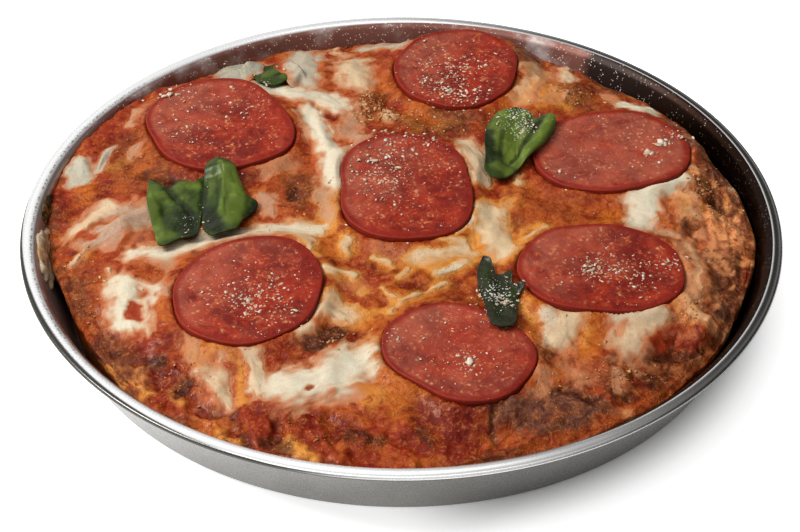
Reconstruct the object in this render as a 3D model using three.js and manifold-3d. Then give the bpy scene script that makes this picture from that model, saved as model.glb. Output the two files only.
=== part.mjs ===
// A deep dish pizza in its own round steel pan.
// Millimetres, +Z up. The origin is the middle of the pan's underside, +Y is the
// far side of the pan and +X its right.
//
// The food is built from the pan up: a dough crust with a raised, uneven edge, a
// domed layer of baked sauce and cheese lying in it, and then the mozzarella, the
// pepperoni slices and the basil, each dropped on what lies under it.
import * as THREE from 'three';
import { mergeVertices } from 'three/addons/utils/BufferGeometryUtils.js';
import Module from 'manifold-3d';

const wasm = await Module();
wasm.setup();

// ---------------------------------------------------------------- sizes

// The pan: one steel sheet with a flared wall and a lip rolled over outwards.
const PAN = {
  rimRadius: 127,
  mouthRadius: 121.9,
  baseRadius: 112.6,
  height: 25.9,
  sheet: 1.0,
  cornerRadius: 2.4,
  beadRadius: 1.35,
  beadMiddle: 24.6,
  segments: 64,
};

// Gap between two pieces that touch.
const GAP = 0.3;

// The crust: a dish of dough that shrank away from the wall in places.
const CRUST = {
  bottom: PAN.sheet + GAP,
  floor: 8,
  edgeHeight: 19.5,
  edgeSwell: 1.1,
  wallGap: 0.6,
  toeGap: 0.8,
  innerSlant: 6,
  rollSwell: 1.3,
  segments: 102,
};

// Where the crust's edge stands away from the wall, by bearing in degrees.
const WALL_GAPS = [
  { bearing: 204, spread: 30, depth: 5.6 },
  { bearing: 27, spread: 25, depth: 5.4 },
  { bearing: 44, spread: 22, depth: 3.8 },
  { bearing: 98, spread: 22, depth: 2.4 },
  { bearing: 338, spread: 14, depth: 1.6 },
];

// Where the bare crust shows inside the edge, as a band of this width.
const BARE_BANDS = [
  { bearing: 301, spread: 24, width: 19 },
  { bearing: 330, spread: 22, width: 13 },
  { bearing: 2, spread: 26, width: 11 },
  { bearing: 204, spread: 26, width: 5 },
];
const COVERED_BAND = 1.8;

// Where the crust's edge rises above its usual height.
const EDGE_HUMPS = [
  { bearing: 162, spread: 30, rise: 3.2 },
  { bearing: 301, spread: 26, rise: 1.4 },
  { bearing: 262, spread: 24, rise: 1.0 },
];

// The sauce and cheese: a dome with soft lumps.
const DOME = {
  top: 26.6,
  fall: 2.0,
  shoulderStart: 90,
  shoulderEnd: 118,
  edgeStep: 0.7,
  lump: 0.55,
  rings: 17,
};

// Pepperoni slices: place and half sizes across and along; turn is the bearing of
// the long half, pitch and roll tip the slice and curl lifts its far edge.
const SLICE = { thickness: 2.2, rings: 4, clearance: 0.35 };
const SLICES = [
  { name: 'pepperoni_1', x: -65, y: 48, across: 26, along: 28.5, turn: 118, pitch: 0.5, roll: -1.5, curl: 2.2 },
  { name: 'pepperoni_2', x: 20, y: 85.5, across: 23.5, along: 26, turn: 70, pitch: 3.5, roll: 0, curl: 1.6 },
  { name: 'pepperoni_3', x: 74, y: 34, across: 26.5, along: 29, turn: 20, pitch: 0, roll: 1.5, curl: 1.0 },
  { name: 'pepperoni_4', x: 1.5, y: 11, across: 23.5, along: 30, turn: 92, pitch: 1.5, roll: 0, curl: 0.6 },
  { name: 'pepperoni_5', x: -49, y: -44.5, across: 24, along: 26.5, turn: 62, pitch: 0, roll: 0, curl: 0.8 },
  { name: 'pepperoni_6', x: 64.5, y: -32.5, across: 22.5, along: 28, turn: 4, pitch: 0, roll: -1.0, curl: 0.8 },
  { name: 'pepperoni_7', x: 17.5, y: -73.5, across: 20.5, along: 26, turn: 142, pitch: 0, roll: 0, curl: 0.6 },
];

// The largest crumbs of grated hard cheese, baked onto the slices.
const CRUMBS = [
  { on: 'pepperoni_3', x: 91, y: 40, size: 2.6 },
  { on: 'pepperoni_3', x: 86.5, y: 34, size: 2.4 },
  { on: 'pepperoni_1', x: -84, y: 66, size: 2.2 },
  { on: 'pepperoni_1', x: -76, y: 47, size: 1.8 },
  { on: 'pepperoni_2', x: 17, y: 71, size: 2.0 },
  { on: 'pepperoni_2', x: 27, y: 72, size: 1.9 },
  { on: 'pepperoni_4', x: -9, y: 24, size: 1.8 },
  { on: 'pepperoni_4', x: 4, y: 30, size: 1.7 },
  { on: 'pepperoni_5', x: -48, y: -51, size: 2.0 },
  { on: 'pepperoni_6', x: 61, y: -35, size: 1.9 },
  { on: 'pepperoni_7', x: 21, y: -79, size: 2.0 },
];
const CRUMB_TALL = 1.3;

// What is laid on the food stays this far inside the crust's edge.
const LAID_INSET = 1.5;

// Melted mozzarella: each is a strand along a hand-laid path with its widest half
// width; a round blob is a short path. Cheese looks this reach around each point for
// what holds it up, and one that drapes over a leaf looks further.
const MELT = { rings: 3, edge: 0.5, reach: 2.8, overrun: 0.75 };
const MELTS = [
  { name: 'mozzarella_back_peaks', path: [[-37, 104], [-38, 92], [-36, 80]], half: 8, thick: 2.2, reach: 5 },
  { name: 'mozzarella_back_arc', path: [[-50, 76], [-41, 70], [-30, 68], [-23, 62]], half: 6.5, thick: 2.4 },
  { name: 'mozzarella_back_flow', path: [[-33, 58], [-29, 44], [-25, 30], [-23, 13]], half: 6.2, thick: 2.6 },
  { name: 'mozzarella_back_soft', path: [[-19, 91], [-16, 78]], half: 8.0, thick: 1.8 },
  { name: 'mozzarella_back_blob', path: [[-63, 96], [-60, 85]], half: 9.5, thick: 2.8, reach: 5 },
  { name: 'mozzarella_rear_lump', path: [[-13, 107], [-3, 109]], half: 6.5, thick: 3.0 },
  { name: 'mozzarella_left_blob', path: [[-115, 35], [-110, 21]], half: 4.2, thick: 2.4 },
  { name: 'mozzarella_left_strip', path: [[-102, 39], [-106, 26]], half: 3.0, thick: 1.8 },
  { name: 'mozzarella_left_bright', path: [[-107, -10], [-98, 0]], half: 7.0, thick: 2.6 },
  { name: 'mozzarella_left_pink', path: [[-99, -16], [-90, -5]], half: 8.5, thick: 2.0 },
  { name: 'mozzarella_left_front', path: [[-89, -40], [-85, -59]], half: 8.0, thick: 2.4 },
  { name: 'mozzarella_band', path: [[-88, -25], [-74, -27], [-58, -20], [-42, -13], [-27, -13]], half: 5.5, thick: 1.8 },
  { name: 'mozzarella_crook', path: [[-31, -64], [-25, -54], [-17, -57]], half: 5.0, thick: 1.8 },
  { name: 'mozzarella_front_left', path: [[-57, -83], [-53, -93]], half: 7.0, thick: 1.8 },
  { name: 'mozzarella_front_streak', path: [[-44, -73], [-43, -89]], half: 4.2, thick: 1.8 },
  { name: 'mozzarella_front', path: [[-34, -89], [-24, -88], [-14, -80]], half: 11.5, thick: 2.8 },
  { name: 'mozzarella_middle', path: [[30, -4], [30, -15], [33, -25]], half: 7.0, thick: 2.0 },
  { name: 'mozzarella_strands', path: [[3, -30], [14, -28], [22, -26]], half: 4.0, thick: 1.5 },
  { name: 'mozzarella_middle_back', path: [[22, 38], [26.5, 27], [26.5, 14]], half: 4.5, thick: 1.6 },
  { name: 'mozzarella_right_back', path: [[44, 66], [48, 76], [54, 88]], half: 5.0, thick: 1.8 },
  { name: 'mozzarella_right_edge', path: [[82, 64], [91, 63]], half: 4.5, thick: 2.0 },
  { name: 'mozzarella_right', path: [[93, 16], [83, 6], [81, -8]], half: 7.5, thick: 2.2 },
  { name: 'mozzarella_right_front', path: [[52, -58], [49, -68]], half: 7.0, thick: 2.0 },
  { name: 'mozzarella_right_pink', path: [[77, -59], [70, -70]], half: 9.0, thick: 1.8 },
];

// Basil leaves: a spine from its far end to its near end, the widest half width,
// how far the halves cup upwards and how high its ribs fold. A blunt of 2 rounds
// the outline to an oval and 4 squares it off; the notch is torn out of the far
// end, and a taper above 0 narrows the near end, below 0 the far end.
const LEAF = { thickness: 0.7, rings: 4, clearance: 0.6, reach: 4.8, wave: 0.06 };
const LEAVES = [
  {
    name: 'basil_left_outer', path: [[-79, 17], [-78, 0], [-76, -20]], half: 9.4, cup: 1.4, fold: 0.9,
    blunt: 3.2, notch: 0.3, taper: 0.3,
  },
  {
    name: 'basil_left_inner', path: [[-63, 24], [-59.5, 6], [-60, -14]], half: 9.2, cup: 2.2, fold: 0.8,
    blunt: 2.3, notch: 0, taper: -0.2,
  },
  {
    name: 'basil_right', path: [[45, 60], [41, 40], [33, 17]], half: 10.8, cup: 3.2, fold: 0.9,
    blunt: 2.6, notch: 0.12, taper: 0.28,
  },
  {
    name: 'basil_front', path: [[27, -28], [30.5, -43], [31.5, -64]], half: 6.4, cup: 0.7, fold: 0.5,
    blunt: 3.4, notch: 0.16, taper: -0.2,
  },
  {
    name: 'basil_back', path: [[-45, 92], [-51, 80]], half: 8.0, cup: 0.6, fold: 0.4,
    blunt: 2.4, notch: 0.1, taper: 0, underCheese: true,
  },
];

// Scraps baked onto the left wall of the pan: bearing range, heights and thickness.
const WALL_SCRAPS = [
  { name: 'wall_cheese', from: 186, to: 198, low: 14.5, high: 23.5, thickness: 1.0, colour: 0xb59a72 },
  { name: 'wall_herb', from: 174, to: 181, low: 21, high: 25, thickness: 0.9, colour: 0x4a3325 },
];

// ---------------------------------------------------------------- helpers

const TAU = 2 * Math.PI;
const radians = (degrees) => degrees * Math.PI / 180;
const mix = (a, b, t) => a + (b - a) * t;

function smoothstep(low, high, value) {
  const t = Math.min(1, Math.max(0, (value - low) / (high - low)));
  return t * t * (3 - 2 * t);
}

// A bump of height 1 at one bearing, falling to 0 at spread degrees either side.
function bearingBump(angle, bearing, spread) {
  const turn = (angle * 180 / Math.PI - bearing + 540) % 360;
  const away = Math.abs((turn + 360) % 360 - 180);
  return 1 - smoothstep(0, spread, away);
}

function geometryOf(points, triangles) {
  const geometry = new THREE.BufferGeometry();
  geometry.setAttribute('position', new THREE.Float32BufferAttribute(points.flat(), 3));
  geometry.setIndex(triangles.flat());
  geometry.computeVertexNormals();
  return geometry;
}

// The triangles of a disc in rings, ring i holding 6 i points; start is the index
// of the middle point and flip turns the faces over.
function discTriangles(rings, start, flip) {
  const triangles = [];
  const ringStart = (ring) => start + (ring === 0 ? 0 : 1 + 3 * ring * (ring - 1));
  const at = (ring, step) => ringStart(ring) + (ring === 0 ? 0 : step % (6 * ring));
  for (let ring = 1; ring <= rings; ring += 1) {
    for (let side = 0; side < 6; side += 1) {
      for (let step = 0; step < ring; step += 1) {
        const outer = side * ring + step;
        const inner = side * (ring - 1) + step;
        triangles.push([at(ring - 1, inner), at(ring, outer), at(ring, outer + 1)]);
        if (step < ring - 1) {
          triangles.push([at(ring - 1, inner), at(ring, outer + 1), at(ring - 1, inner + 1)]);
        }
      }
    }
  }
  return flip ? triangles.map(([a, b, c]) => [a, c, b]) : triangles;
}

// Points of a unit disc in rings, each passed to place(u, v, reach, angle).
function discPoints(rings, place) {
  const points = [place(0, 0, 0, 0)];
  for (let ring = 1; ring <= rings; ring += 1) {
    for (let step = 0; step < 6 * ring; step += 1) {
      const angle = TAU * step / (6 * ring);
      const reach = ring / rings;
      points.push(place(reach * Math.cos(angle), reach * Math.sin(angle), reach, angle));
    }
  }
  return points;
}

// A band of triangles between two loops of count points each.
function bandTriangles(lower, upper, count) {
  const triangles = [];
  for (let step = 0; step < count; step += 1) {
    const next = (step + 1) % count;
    triangles.push([lower + step, lower + next, upper + next]);
    triangles.push([lower + step, upper + next, upper + step]);
  }
  return triangles;
}

// A closed solid between two sheets laid out on the same disc.
function discSolid(rings, topAt, bottomAt) {
  const tops = discPoints(rings, topAt);
  const bottoms = discPoints(rings, bottomAt);
  const count = 6 * rings;
  const topRim = tops.length - count;
  return geometryOf([...tops, ...bottoms], [
    ...discTriangles(rings, 0, false),
    ...discTriangles(rings, tops.length, true),
    ...bandTriangles(tops.length + topRim, topRim, count),
  ]);
}

// A closed solid under one sheet, down to a flat floor.
function moundSolid(rings, topAt, floorAt) {
  const tops = discPoints(rings, topAt);
  const count = 6 * rings;
  const topRim = tops.length - count;
  const floors = [];
  for (let step = 0; step < count; step += 1) {
    floors.push(floorAt(TAU * step / count));
  }
  const middle = tops.length + count;
  const fan = floors.map((_, step) => [middle, tops.length + (step + 1) % count, tops.length + step]);
  return geometryOf([...tops, ...floors, [0, 0, floors[0][2]]], [
    ...discTriangles(rings, 0, false),
    ...bandTriangles(tops.length, topRim, count),
    ...fan,
  ]);
}

// A closed solid spun round the axis from a profile that may change with bearing.
// profileAt(angle) runs from the axis at the bottom to the axis at the top.
function turnedSolid(segments, profileAt) {
  const profiles = [];
  for (let step = 0; step < segments; step += 1) {
    profiles.push(profileAt(TAU * step / segments));
  }
  const loops = profiles[0].length - 2;
  const points = [[0, 0, profiles[0][0][1]]];
  for (let loop = 1; loop <= loops; loop += 1) {
    profiles.forEach((profile, step) => {
      const angle = TAU * step / segments;
      const [radius, height] = profile[loop];
      points.push([radius * Math.cos(angle), radius * Math.sin(angle), height]);
    });
  }
  points.push([0, 0, profiles[0][loops + 1][1]]);
  const top = points.length - 1;
  const triangles = [];
  for (let loop = 0; loop < loops - 1; loop += 1) {
    triangles.push(...bandTriangles(1 + loop * segments, 1 + (loop + 1) * segments, segments));
  }
  for (let step = 0; step < segments; step += 1) {
    const next = (step + 1) % segments;
    triangles.push([0, 1 + next, 1 + step]);
    triangles.push([top, top - segments + step, top - segments + next]);
  }
  return geometryOf(points, triangles);
}

function toManifold(geometry) {
  const bare = geometry.clone();
  bare.deleteAttribute('normal');
  bare.deleteAttribute('uv');
  const merged = mergeVertices(bare, 1e-4);
  return new wasm.Manifold(new wasm.Mesh({
    numProp: 3,
    vertProperties: new Float32Array(merged.attributes.position.array),
    triVerts: new Uint32Array(merged.index.array),
  }));
}

function toGeometry(manifold) {
  const mesh = manifold.getMesh();
  const geometry = new THREE.BufferGeometry();
  geometry.setAttribute('position', new THREE.BufferAttribute(mesh.vertProperties, 3));
  geometry.setIndex(new THREE.BufferAttribute(mesh.triVerts, 1));
  geometry.computeVertexNormals();
  return geometry;
}

// The largest connected body of a manifold.
function largestBody(manifold) {
  const bodies = manifold.decompose();
  return bodies.reduce((best, body) => (body.volume() > best.volume() ? body : best));
}

// Copies of a solid stepped upwards, which together clear the space just above it.
function raisedCopies(geometry) {
  const solid = toManifold(geometry);
  return [0, 0.5, 1, 1.5].map((steps) => solid.translate([0, 0, steps * GAP]));
}

const group = new THREE.Group();

function addPiece(name, geometry, colour, roughness, metalness = 0) {
  const material = new THREE.MeshStandardMaterial({ color: colour, roughness, metalness });
  const mesh = new THREE.Mesh(geometry, material);
  mesh.name = name;
  group.add(mesh);
  return mesh;
}

// The height of the highest piece straight below (x, y), or null where none is.
const caster = new THREE.Raycaster();
const DOWN = new THREE.Vector3(0, 0, -1);
const ABOVE_ALL = 80;

function heightAt(supports, x, y) {
  caster.set(new THREE.Vector3(x, y, ABOVE_ALL), DOWN);
  const hits = caster.intersectObjects(supports, false);
  return hits.length === 0 ? null : hits[0].point.z;
}

// The highest point of the supports within reach of (x, y).
function highestNear(supports, x, y, reach) {
  const samples = [[x, y]];
  for (let step = 0; step < 8; step += 1) {
    const angle = TAU * step / 8;
    samples.push([x + reach * Math.cos(angle), y + reach * Math.sin(angle)]);
  }
  const heights = samples.map(([sx, sy]) => heightAt(supports, sx, sy)).filter((z) => z !== null);
  return Math.max(...heights);
}

// ---------------------------------------------------------------- pan

const WALL_SLOPE = (PAN.mouthRadius - PAN.baseRadius) / PAN.height;

// The radius of the wall's inner face at a height.
function wallInside(height) {
  return PAN.mouthRadius - (PAN.height - height) * WALL_SLOPE;
}

function arcPoints(radius, height, size, from, to, steps) {
  const points = [];
  for (let step = 0; step <= steps; step += 1) {
    const angle = radians(mix(from, to, step / steps));
    points.push([radius + size * Math.cos(angle), height + size * Math.sin(angle)]);
  }
  return points;
}

function panProfile() {
  const { sheet, cornerRadius, beadRadius, beadMiddle, rimRadius, height } = PAN;
  const outside = (z) => wallInside(z) + sheet * 1.06;
  const innerCorner = cornerRadius - sheet;
  const beadCentre = rimRadius - beadRadius;
  const lipUnder = beadMiddle - beadRadius * 0.75;
  return [
    [0, 0],
    ...arcPoints(outside(cornerRadius) - cornerRadius, cornerRadius, cornerRadius, -90, -10, 3),
    [outside(lipUnder), lipUnder],
    ...arcPoints(beadCentre, beadMiddle, beadRadius, -140, 95, 6),
    [beadCentre - beadRadius * 1.25, beadMiddle + beadRadius * 0.72],
    [wallInside(height) + 0.9, height],
    [wallInside(height) + 0.2, height - 0.15],
    [wallInside(height - 1), height - 1],
    ...arcPoints(wallInside(cornerRadius) - innerCorner, cornerRadius, innerCorner, -10, -90, 2),
    [0, sheet],
  ];
}

function buildPan() {
  const profile = panProfile();
  addPiece('pan', turnedSolid(PAN.segments, () => profile), 0xb4b2ae, 0.3, 1);
}

// ---------------------------------------------------------------- crust

// How far the top of the crust stands off the wall at a bearing.
function edgeGap(angle) {
  const gaps = WALL_GAPS.map((gap) => gap.depth * bearingBump(angle, gap.bearing, gap.spread));
  const ripple = 0.35 * Math.sin(9 * angle + 1.2) + 0.25 * Math.sin(17 * angle);
  return CRUST.wallGap + Math.max(...gaps) + 0.6 + ripple;
}

// The radius of the crust's upper edge at a bearing.
function crustRadius(angle) {
  return wallInside(crustEdge(angle)) - edgeGap(angle);
}

// The radius of the sauce's edge at a bearing.
function sauceRadius(angle) {
  const bands = BARE_BANDS.map((band) => band.width * bearingBump(angle, band.bearing, band.spread));
  const bare = COVERED_BAND + Math.max(...bands);
  const ripple = 0.5 * Math.sin(11 * angle + 0.4);
  return crustRadius(angle) - bare + ripple - 0.6;
}

// The height of the crust's raised edge at a bearing.
function crustEdge(angle) {
  const swell = Math.sin(3 * angle + 0.6) * 0.5 + Math.sin(7 * angle + 2.1) * 0.3 + Math.sin(13 * angle) * 0.2;
  const humps = EDGE_HUMPS.map((hump) => hump.rise * bearingBump(angle, hump.bearing, hump.spread));
  return CRUST.edgeHeight + CRUST.edgeSwell * swell + Math.max(...humps);
}

function crustProfile(angle) {
  const { bottom, floor, toeGap, innerSlant } = CRUST;
  const edge = crustEdge(angle);
  const gap = edgeGap(angle);
  const sideAt = (z) => wallInside(z) - mix(toeGap, gap, smoothstep(bottom, edge * 0.7, z));
  const inner = sauceRadius(angle) + GAP * 2;
  const innerEdge = sauceHeight(inner * Math.cos(angle), inner * Math.sin(angle)) - 0.3;
  const shoulder = sideAt(edge) - 0.8;
  const band = shoulder - inner;
  const roll = smoothstep(4, 14, band) * CRUST.rollSwell;
  return [
    [0, bottom],
    [wallInside(bottom) - toeGap - 3, bottom],
    [sideAt(bottom + 2), bottom + 2],
    [sideAt(edge * 0.55), edge * 0.55],
    [sideAt(edge - 2), edge - 2],
    [shoulder, edge - 0.4],
    [inner + band * 0.55, mix(edge, innerEdge, 0.5) + roll],
    [inner + band * 0.15, mix(edge, innerEdge, 0.9) + roll * 0.6],
    [inner, innerEdge],
    [inner - innerSlant, floor],
    [0, floor],
  ];
}

// ---------------------------------------------------------------- sauce and cheese

// The smooth dome of the topping, without lumps: it comes down to the crust's edge.
function domeHeight(x, y) {
  const r = Math.hypot(x, y);
  const dome = DOME.top - DOME.fall * (r / 100) ** 2;
  const edge = crustEdge(Math.atan2(y, x)) + DOME.edgeStep;
  return mix(dome, edge, smoothstep(DOME.shoulderStart, DOME.shoulderEnd, r));
}

// Soft lumps all over the dome.
function lumpHeight(x, y) {
  return DOME.lump * (Math.sin(x / 7.1 + 1.3) * Math.sin(y / 8.3 + 0.4)
    + 0.7 * Math.sin(x / 4.9 - y / 6.7 + 2.0));
}

// The slice's flat underside: a plane through the dome, tipped by pitch and roll.
function slicePlane(slice, x, y) {
  const step = 4;
  const slopeX = (domeHeight(slice.x + step, slice.y) - domeHeight(slice.x - step, slice.y)) / (2 * step);
  const slopeY = (domeHeight(slice.x, slice.y + step) - domeHeight(slice.x, slice.y - step)) / (2 * step);
  const tippedX = slopeX + Math.tan(radians(slice.roll));
  const tippedY = slopeY + Math.tan(radians(slice.pitch));
  const middle = domeHeight(slice.x, slice.y) + 0.2;
  return middle + tippedX * (x - slice.x) + tippedY * (y - slice.y);
}

// The slice's outline radius at a bearing from its middle.
function sliceRadius(slice, bearing) {
  const local = bearing - radians(slice.turn);
  const along = Math.cos(local) / slice.along;
  const across = Math.sin(local) / slice.across;
  const phase = slice.x * 0.37;
  const uneven = 1 + 0.018 * Math.sin(2 * local + phase) + 0.016 * Math.sin(3 * local + 2 * phase);
  return uneven / Math.sqrt(along * along + across * across);
}

// How far (x, y) is from the slice's middle, 1 being its outline.
function sliceReach(slice, x, y) {
  const dx = x - slice.x;
  const dy = y - slice.y;
  return Math.hypot(dx, dy) / sliceRadius(slice, Math.atan2(dy, dx));
}

// The topping's surface: the lumpy dome, pressed flat under each slice.
function sauceHeight(x, y) {
  let height = domeHeight(x, y) + lumpHeight(x, y);
  for (const slice of SLICES) {
    const pressed = 1 - smoothstep(1.16, 1.55, sliceReach(slice, x, y));
    height = mix(height, slicePlane(slice, x, y) - SLICE.clearance, pressed);
  }
  return height;
}

function buildBase() {
  const crust = turnedSolid(CRUST.segments, crustProfile);
  addPiece('crust', crust, 0xa8632f, 0.75);
  const sauceTop = (u, v, reach, angle) => {
    const radius = reach * sauceRadius(angle);
    const x = radius * Math.cos(angle);
    const y = radius * Math.sin(angle);
    return [x, y, sauceHeight(x, y)];
  };
  const sauceFloor = (angle) => {
    const radius = sauceRadius(angle) - CRUST.innerSlant;
    return [radius * Math.cos(angle), radius * Math.sin(angle), CRUST.floor + GAP];
  };
  const sauce = moundSolid(DOME.rings, sauceTop, sauceFloor);
  addPiece('sauce_and_cheese', sauce, 0xb5482a, 0.45);
}

// ---------------------------------------------------------------- pepperoni

// Ring spacing that leaves a narrow outermost ring for the rounded edge.
const EDGE_RING = 0.94;

function spreadReach(reach, rings) {
  const inner = (rings - 1) / rings;
  return reach > inner + 1e-6 ? 1 : reach / inner * EDGE_RING;
}

function slicePoint(slice, reach, angle, lift) {
  const spread = spreadReach(reach, SLICE.rings);
  const radius = spread * sliceRadius(slice, angle);
  const x = slice.x + radius * Math.cos(angle);
  const y = slice.y + radius * Math.sin(angle);
  const farSide = smoothstep(-0.2, 1, Math.sin(angle)) * 0.8 + 0.2;
  const curl = slice.curl * farSide * smoothstep(0.45, 1.1, spread);
  const wave = 0.25 * spread ** 2 * (1 + Math.sin(3 * angle + slice.x));
  return [x, y, slicePlane(slice, x, y) + curl + wave + lift];
}

function crumbSolid(crumb, base) {
  const ball = new THREE.IcosahedronGeometry(1, 0);
  ball.scale(crumb.size * 0.9, crumb.size * 0.75, CRUMB_TALL);
  ball.rotateZ(crumb.x);
  ball.translate(crumb.x, crumb.y, base);
  return toManifold(ball);
}

function buildSlice(slice) {
  const bevel = SLICE.thickness * 0.3;
  const edgeLift = (reach, edge, middle) => (reach === 1 ? edge : middle);
  const geometry = discSolid(
    SLICE.rings,
    (u, v, reach, angle) => slicePoint(slice, reach, angle, edgeLift(reach, SLICE.thickness - bevel, SLICE.thickness)),
    (u, v, reach, angle) => slicePoint(slice, reach, angle, edgeLift(reach, bevel, 0)),
  );
  const bare = new THREE.Mesh(geometry);
  let solid = toManifold(geometry);
  for (const crumb of CRUMBS.filter(({ on }) => on === slice.name)) {
    solid = solid.add(crumbSolid(crumb, heightAt([bare], crumb.x, crumb.y) + 0.2));
  }
  return addPiece(slice.name, toGeometry(solid), 0x8e2019, 0.4);
}

// An upright plug with a slice's outline, a little wider, to trim cheese with.
function slicePlug(slice) {
  const at = (height) => (u, v, reach, angle) => {
    const radius = reach * (sliceRadius(slice, angle) + GAP * 1.5);
    return [slice.x + radius * Math.cos(angle), slice.y + radius * Math.sin(angle), height];
  };
  return toManifold(discSolid(SLICE.rings, at(ABOVE_ALL / 2), at(0)));
}

// ---------------------------------------------------------------- mozzarella

// A strand bent along a path: the unit disc's u runs along it, past both ends by
// the overrun.
function strandPlacer(path, half, overrun) {
  const curve = new THREE.CatmullRomCurve3(path.map(([x, y]) => new THREE.Vector3(x, y, 0)));
  const length = curve.getLength();
  const run = length / 2 + overrun;
  return (u, v) => {
    const along = u * run;
    const inside = Math.min(1, Math.max(0, (along + length / 2) / length));
    const point = curve.getPointAt(inside);
    const heading = curve.getTangentAt(inside);
    const beyond = along - (inside * length - length / 2);
    const width = half * (1 + 0.14 * Math.sin(5 * u + half) + 0.08 * Math.sin(9 * u + path[0][0]));
    const x = point.x + heading.x * beyond - heading.y * v * width;
    const y = point.y + heading.y * beyond + heading.x * v * width;
    const angle = Math.atan2(y, x);
    const radius = Math.min(Math.hypot(x, y), crustRadius(angle) - LAID_INSET);
    return [radius * Math.cos(angle), radius * Math.sin(angle)];
  };
}

// An upright plug with a strand's outline, a little wider, to trim its neighbours.
function meltPlug(melt) {
  const place = strandPlacer(melt.path, melt.half + GAP, melt.half * MELT.overrun + GAP);
  const at = (height) => (u, v) => [...place(u, v), height];
  return toManifold(discSolid(MELT.rings, at(ABOVE_ALL / 2), at(0)));
}

function meltSolid(melt, supports) {
  const place = strandPlacer(melt.path, melt.half, melt.half * MELT.overrun);
  const sheetAt = (thicknessAt) => (u, v, reach) => {
    const [x, y] = place(u, v);
    const rest = highestNear(supports, x, y, melt.reach ?? MELT.reach);
    return [x, y, rest + GAP * 1.4 + thicknessAt(reach)];
  };
  const crown = (reach) => mix(melt.thick, MELT.edge, smoothstep(0.25, 1, reach));
  return toManifold(discSolid(MELT.rings, sheetAt(crown), sheetAt(() => 0)));
}

// ---------------------------------------------------------------- basil

// How far the leaf's outline stands out from a unit circle at an angle.
function leafOutline(leaf, angle) {
  const { blunt, notch } = leaf;
  const square = (Math.abs(Math.cos(angle)) ** blunt + Math.abs(Math.sin(angle)) ** blunt) ** (-1 / blunt);
  const fromFarEnd = (angle - Math.PI) / 0.5;
  return square * (1 - notch * Math.exp(-(fromFarEnd ** 2))) * (1 + LEAF.wave * Math.sin(7 * angle + leaf.half));
}

function buildLeaf(leaf, supports) {
  const place = strandPlacer(leaf.path, leaf.half, 0);
  const sheetAt = (lift) => (u, v, reach, angle) => {
    const cut = leafOutline(leaf, angle);
    const [x, y] = place(u * cut, v * cut * (1 - leaf.taper * u));
    const ridge = leaf.fold * (0.5 + 0.5 * Math.cos(7 * v + 0.5)) + leaf.cup * v * v;
    const rest = highestNear(supports, x, y, LEAF.reach);
    return [x, y, rest + LEAF.clearance + ridge * (1 - 0.4 * u * u) + lift];
  };
  const geometry = discSolid(LEAF.rings, sheetAt(LEAF.thickness), sheetAt(0));
  return addPiece(leaf.name, geometry, 0x37521c, 0.45);
}

// ---------------------------------------------------------------- wall scraps

function buildWallScrap(scrap) {
  const sheetAt = (inset) => (u, v) => {
    const angle = radians(mix(scrap.from, scrap.to, 0.5 + u / 2));
    const ragged = 1 + 0.12 * Math.sin(6 * u + scrap.from);
    const z = mix(scrap.low, scrap.high, 0.5 + v * ragged / 2);
    const radius = wallInside(z) - GAP * 1.5 - inset;
    return [radius * Math.cos(angle), radius * Math.sin(angle), z];
  };
  const geometry = discSolid(3, sheetAt(0), sheetAt(scrap.thickness));
  return addPiece(scrap.name, geometry, scrap.colour, 0.6);
}

// ---------------------------------------------------------------- the pizza

const foodSoFar = () => group.children.filter(({ name }) => name !== 'pan');

buildPan();
buildBase();
const coveredLeaf = buildLeaf(LEAVES.find(({ underCheese }) => underCheese), foodSoFar());
const cheeseBed = foodSoFar();

let taken = wasm.Manifold.union([...SLICES.map(slicePlug), ...raisedCopies(coveredLeaf.geometry)]);
for (const melt of MELTS) {
  const trimmed = largestBody(meltSolid(melt, cheeseBed).subtract(taken));
  addPiece(melt.name, toGeometry(trimmed), 0xd8cdb4, 0.4);
  taken = taken.add(meltPlug(melt));
}

SLICES.forEach(buildSlice);
LEAVES.filter(({ underCheese }) => !underCheese).forEach((leaf) => buildLeaf(leaf, foodSoFar()));
for (const scrap of WALL_SCRAPS) {
  buildWallScrap(scrap);
}

export default group;
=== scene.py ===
"""A deep dish pizza in its own round steel pan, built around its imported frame.

Lengths are millimetres until a mesh is placed, in the frame's own axes: +Z up, the
origin in the middle of the pan's underside and +Y the far side of the pan.
"""
import logging
import math
from dataclasses import dataclass
from enum import Enum
from functools import partial
from typing import Callable, Iterable, Optional, Sequence

import bmesh
import bpy
import numpy as np
from mathutils import Matrix, Vector
from mathutils.bvhtree import BVHTree

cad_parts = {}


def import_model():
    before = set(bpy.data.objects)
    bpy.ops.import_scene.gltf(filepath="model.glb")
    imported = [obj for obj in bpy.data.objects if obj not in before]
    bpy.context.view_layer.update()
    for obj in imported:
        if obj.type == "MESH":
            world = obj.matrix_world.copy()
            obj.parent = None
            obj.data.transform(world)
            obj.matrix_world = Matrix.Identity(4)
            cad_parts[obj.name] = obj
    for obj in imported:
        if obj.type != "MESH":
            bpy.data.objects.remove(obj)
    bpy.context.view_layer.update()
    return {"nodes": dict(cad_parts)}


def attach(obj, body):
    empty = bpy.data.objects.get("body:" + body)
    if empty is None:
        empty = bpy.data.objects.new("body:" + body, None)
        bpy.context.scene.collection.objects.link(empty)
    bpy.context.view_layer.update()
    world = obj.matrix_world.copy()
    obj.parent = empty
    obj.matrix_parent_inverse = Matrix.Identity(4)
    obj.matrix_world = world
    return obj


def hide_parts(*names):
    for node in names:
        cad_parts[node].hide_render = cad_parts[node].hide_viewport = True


LOG = logging.getLogger("pizza")
MM = 0.001
TAU = 2 * math.pi
ROOT = "root"

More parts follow.
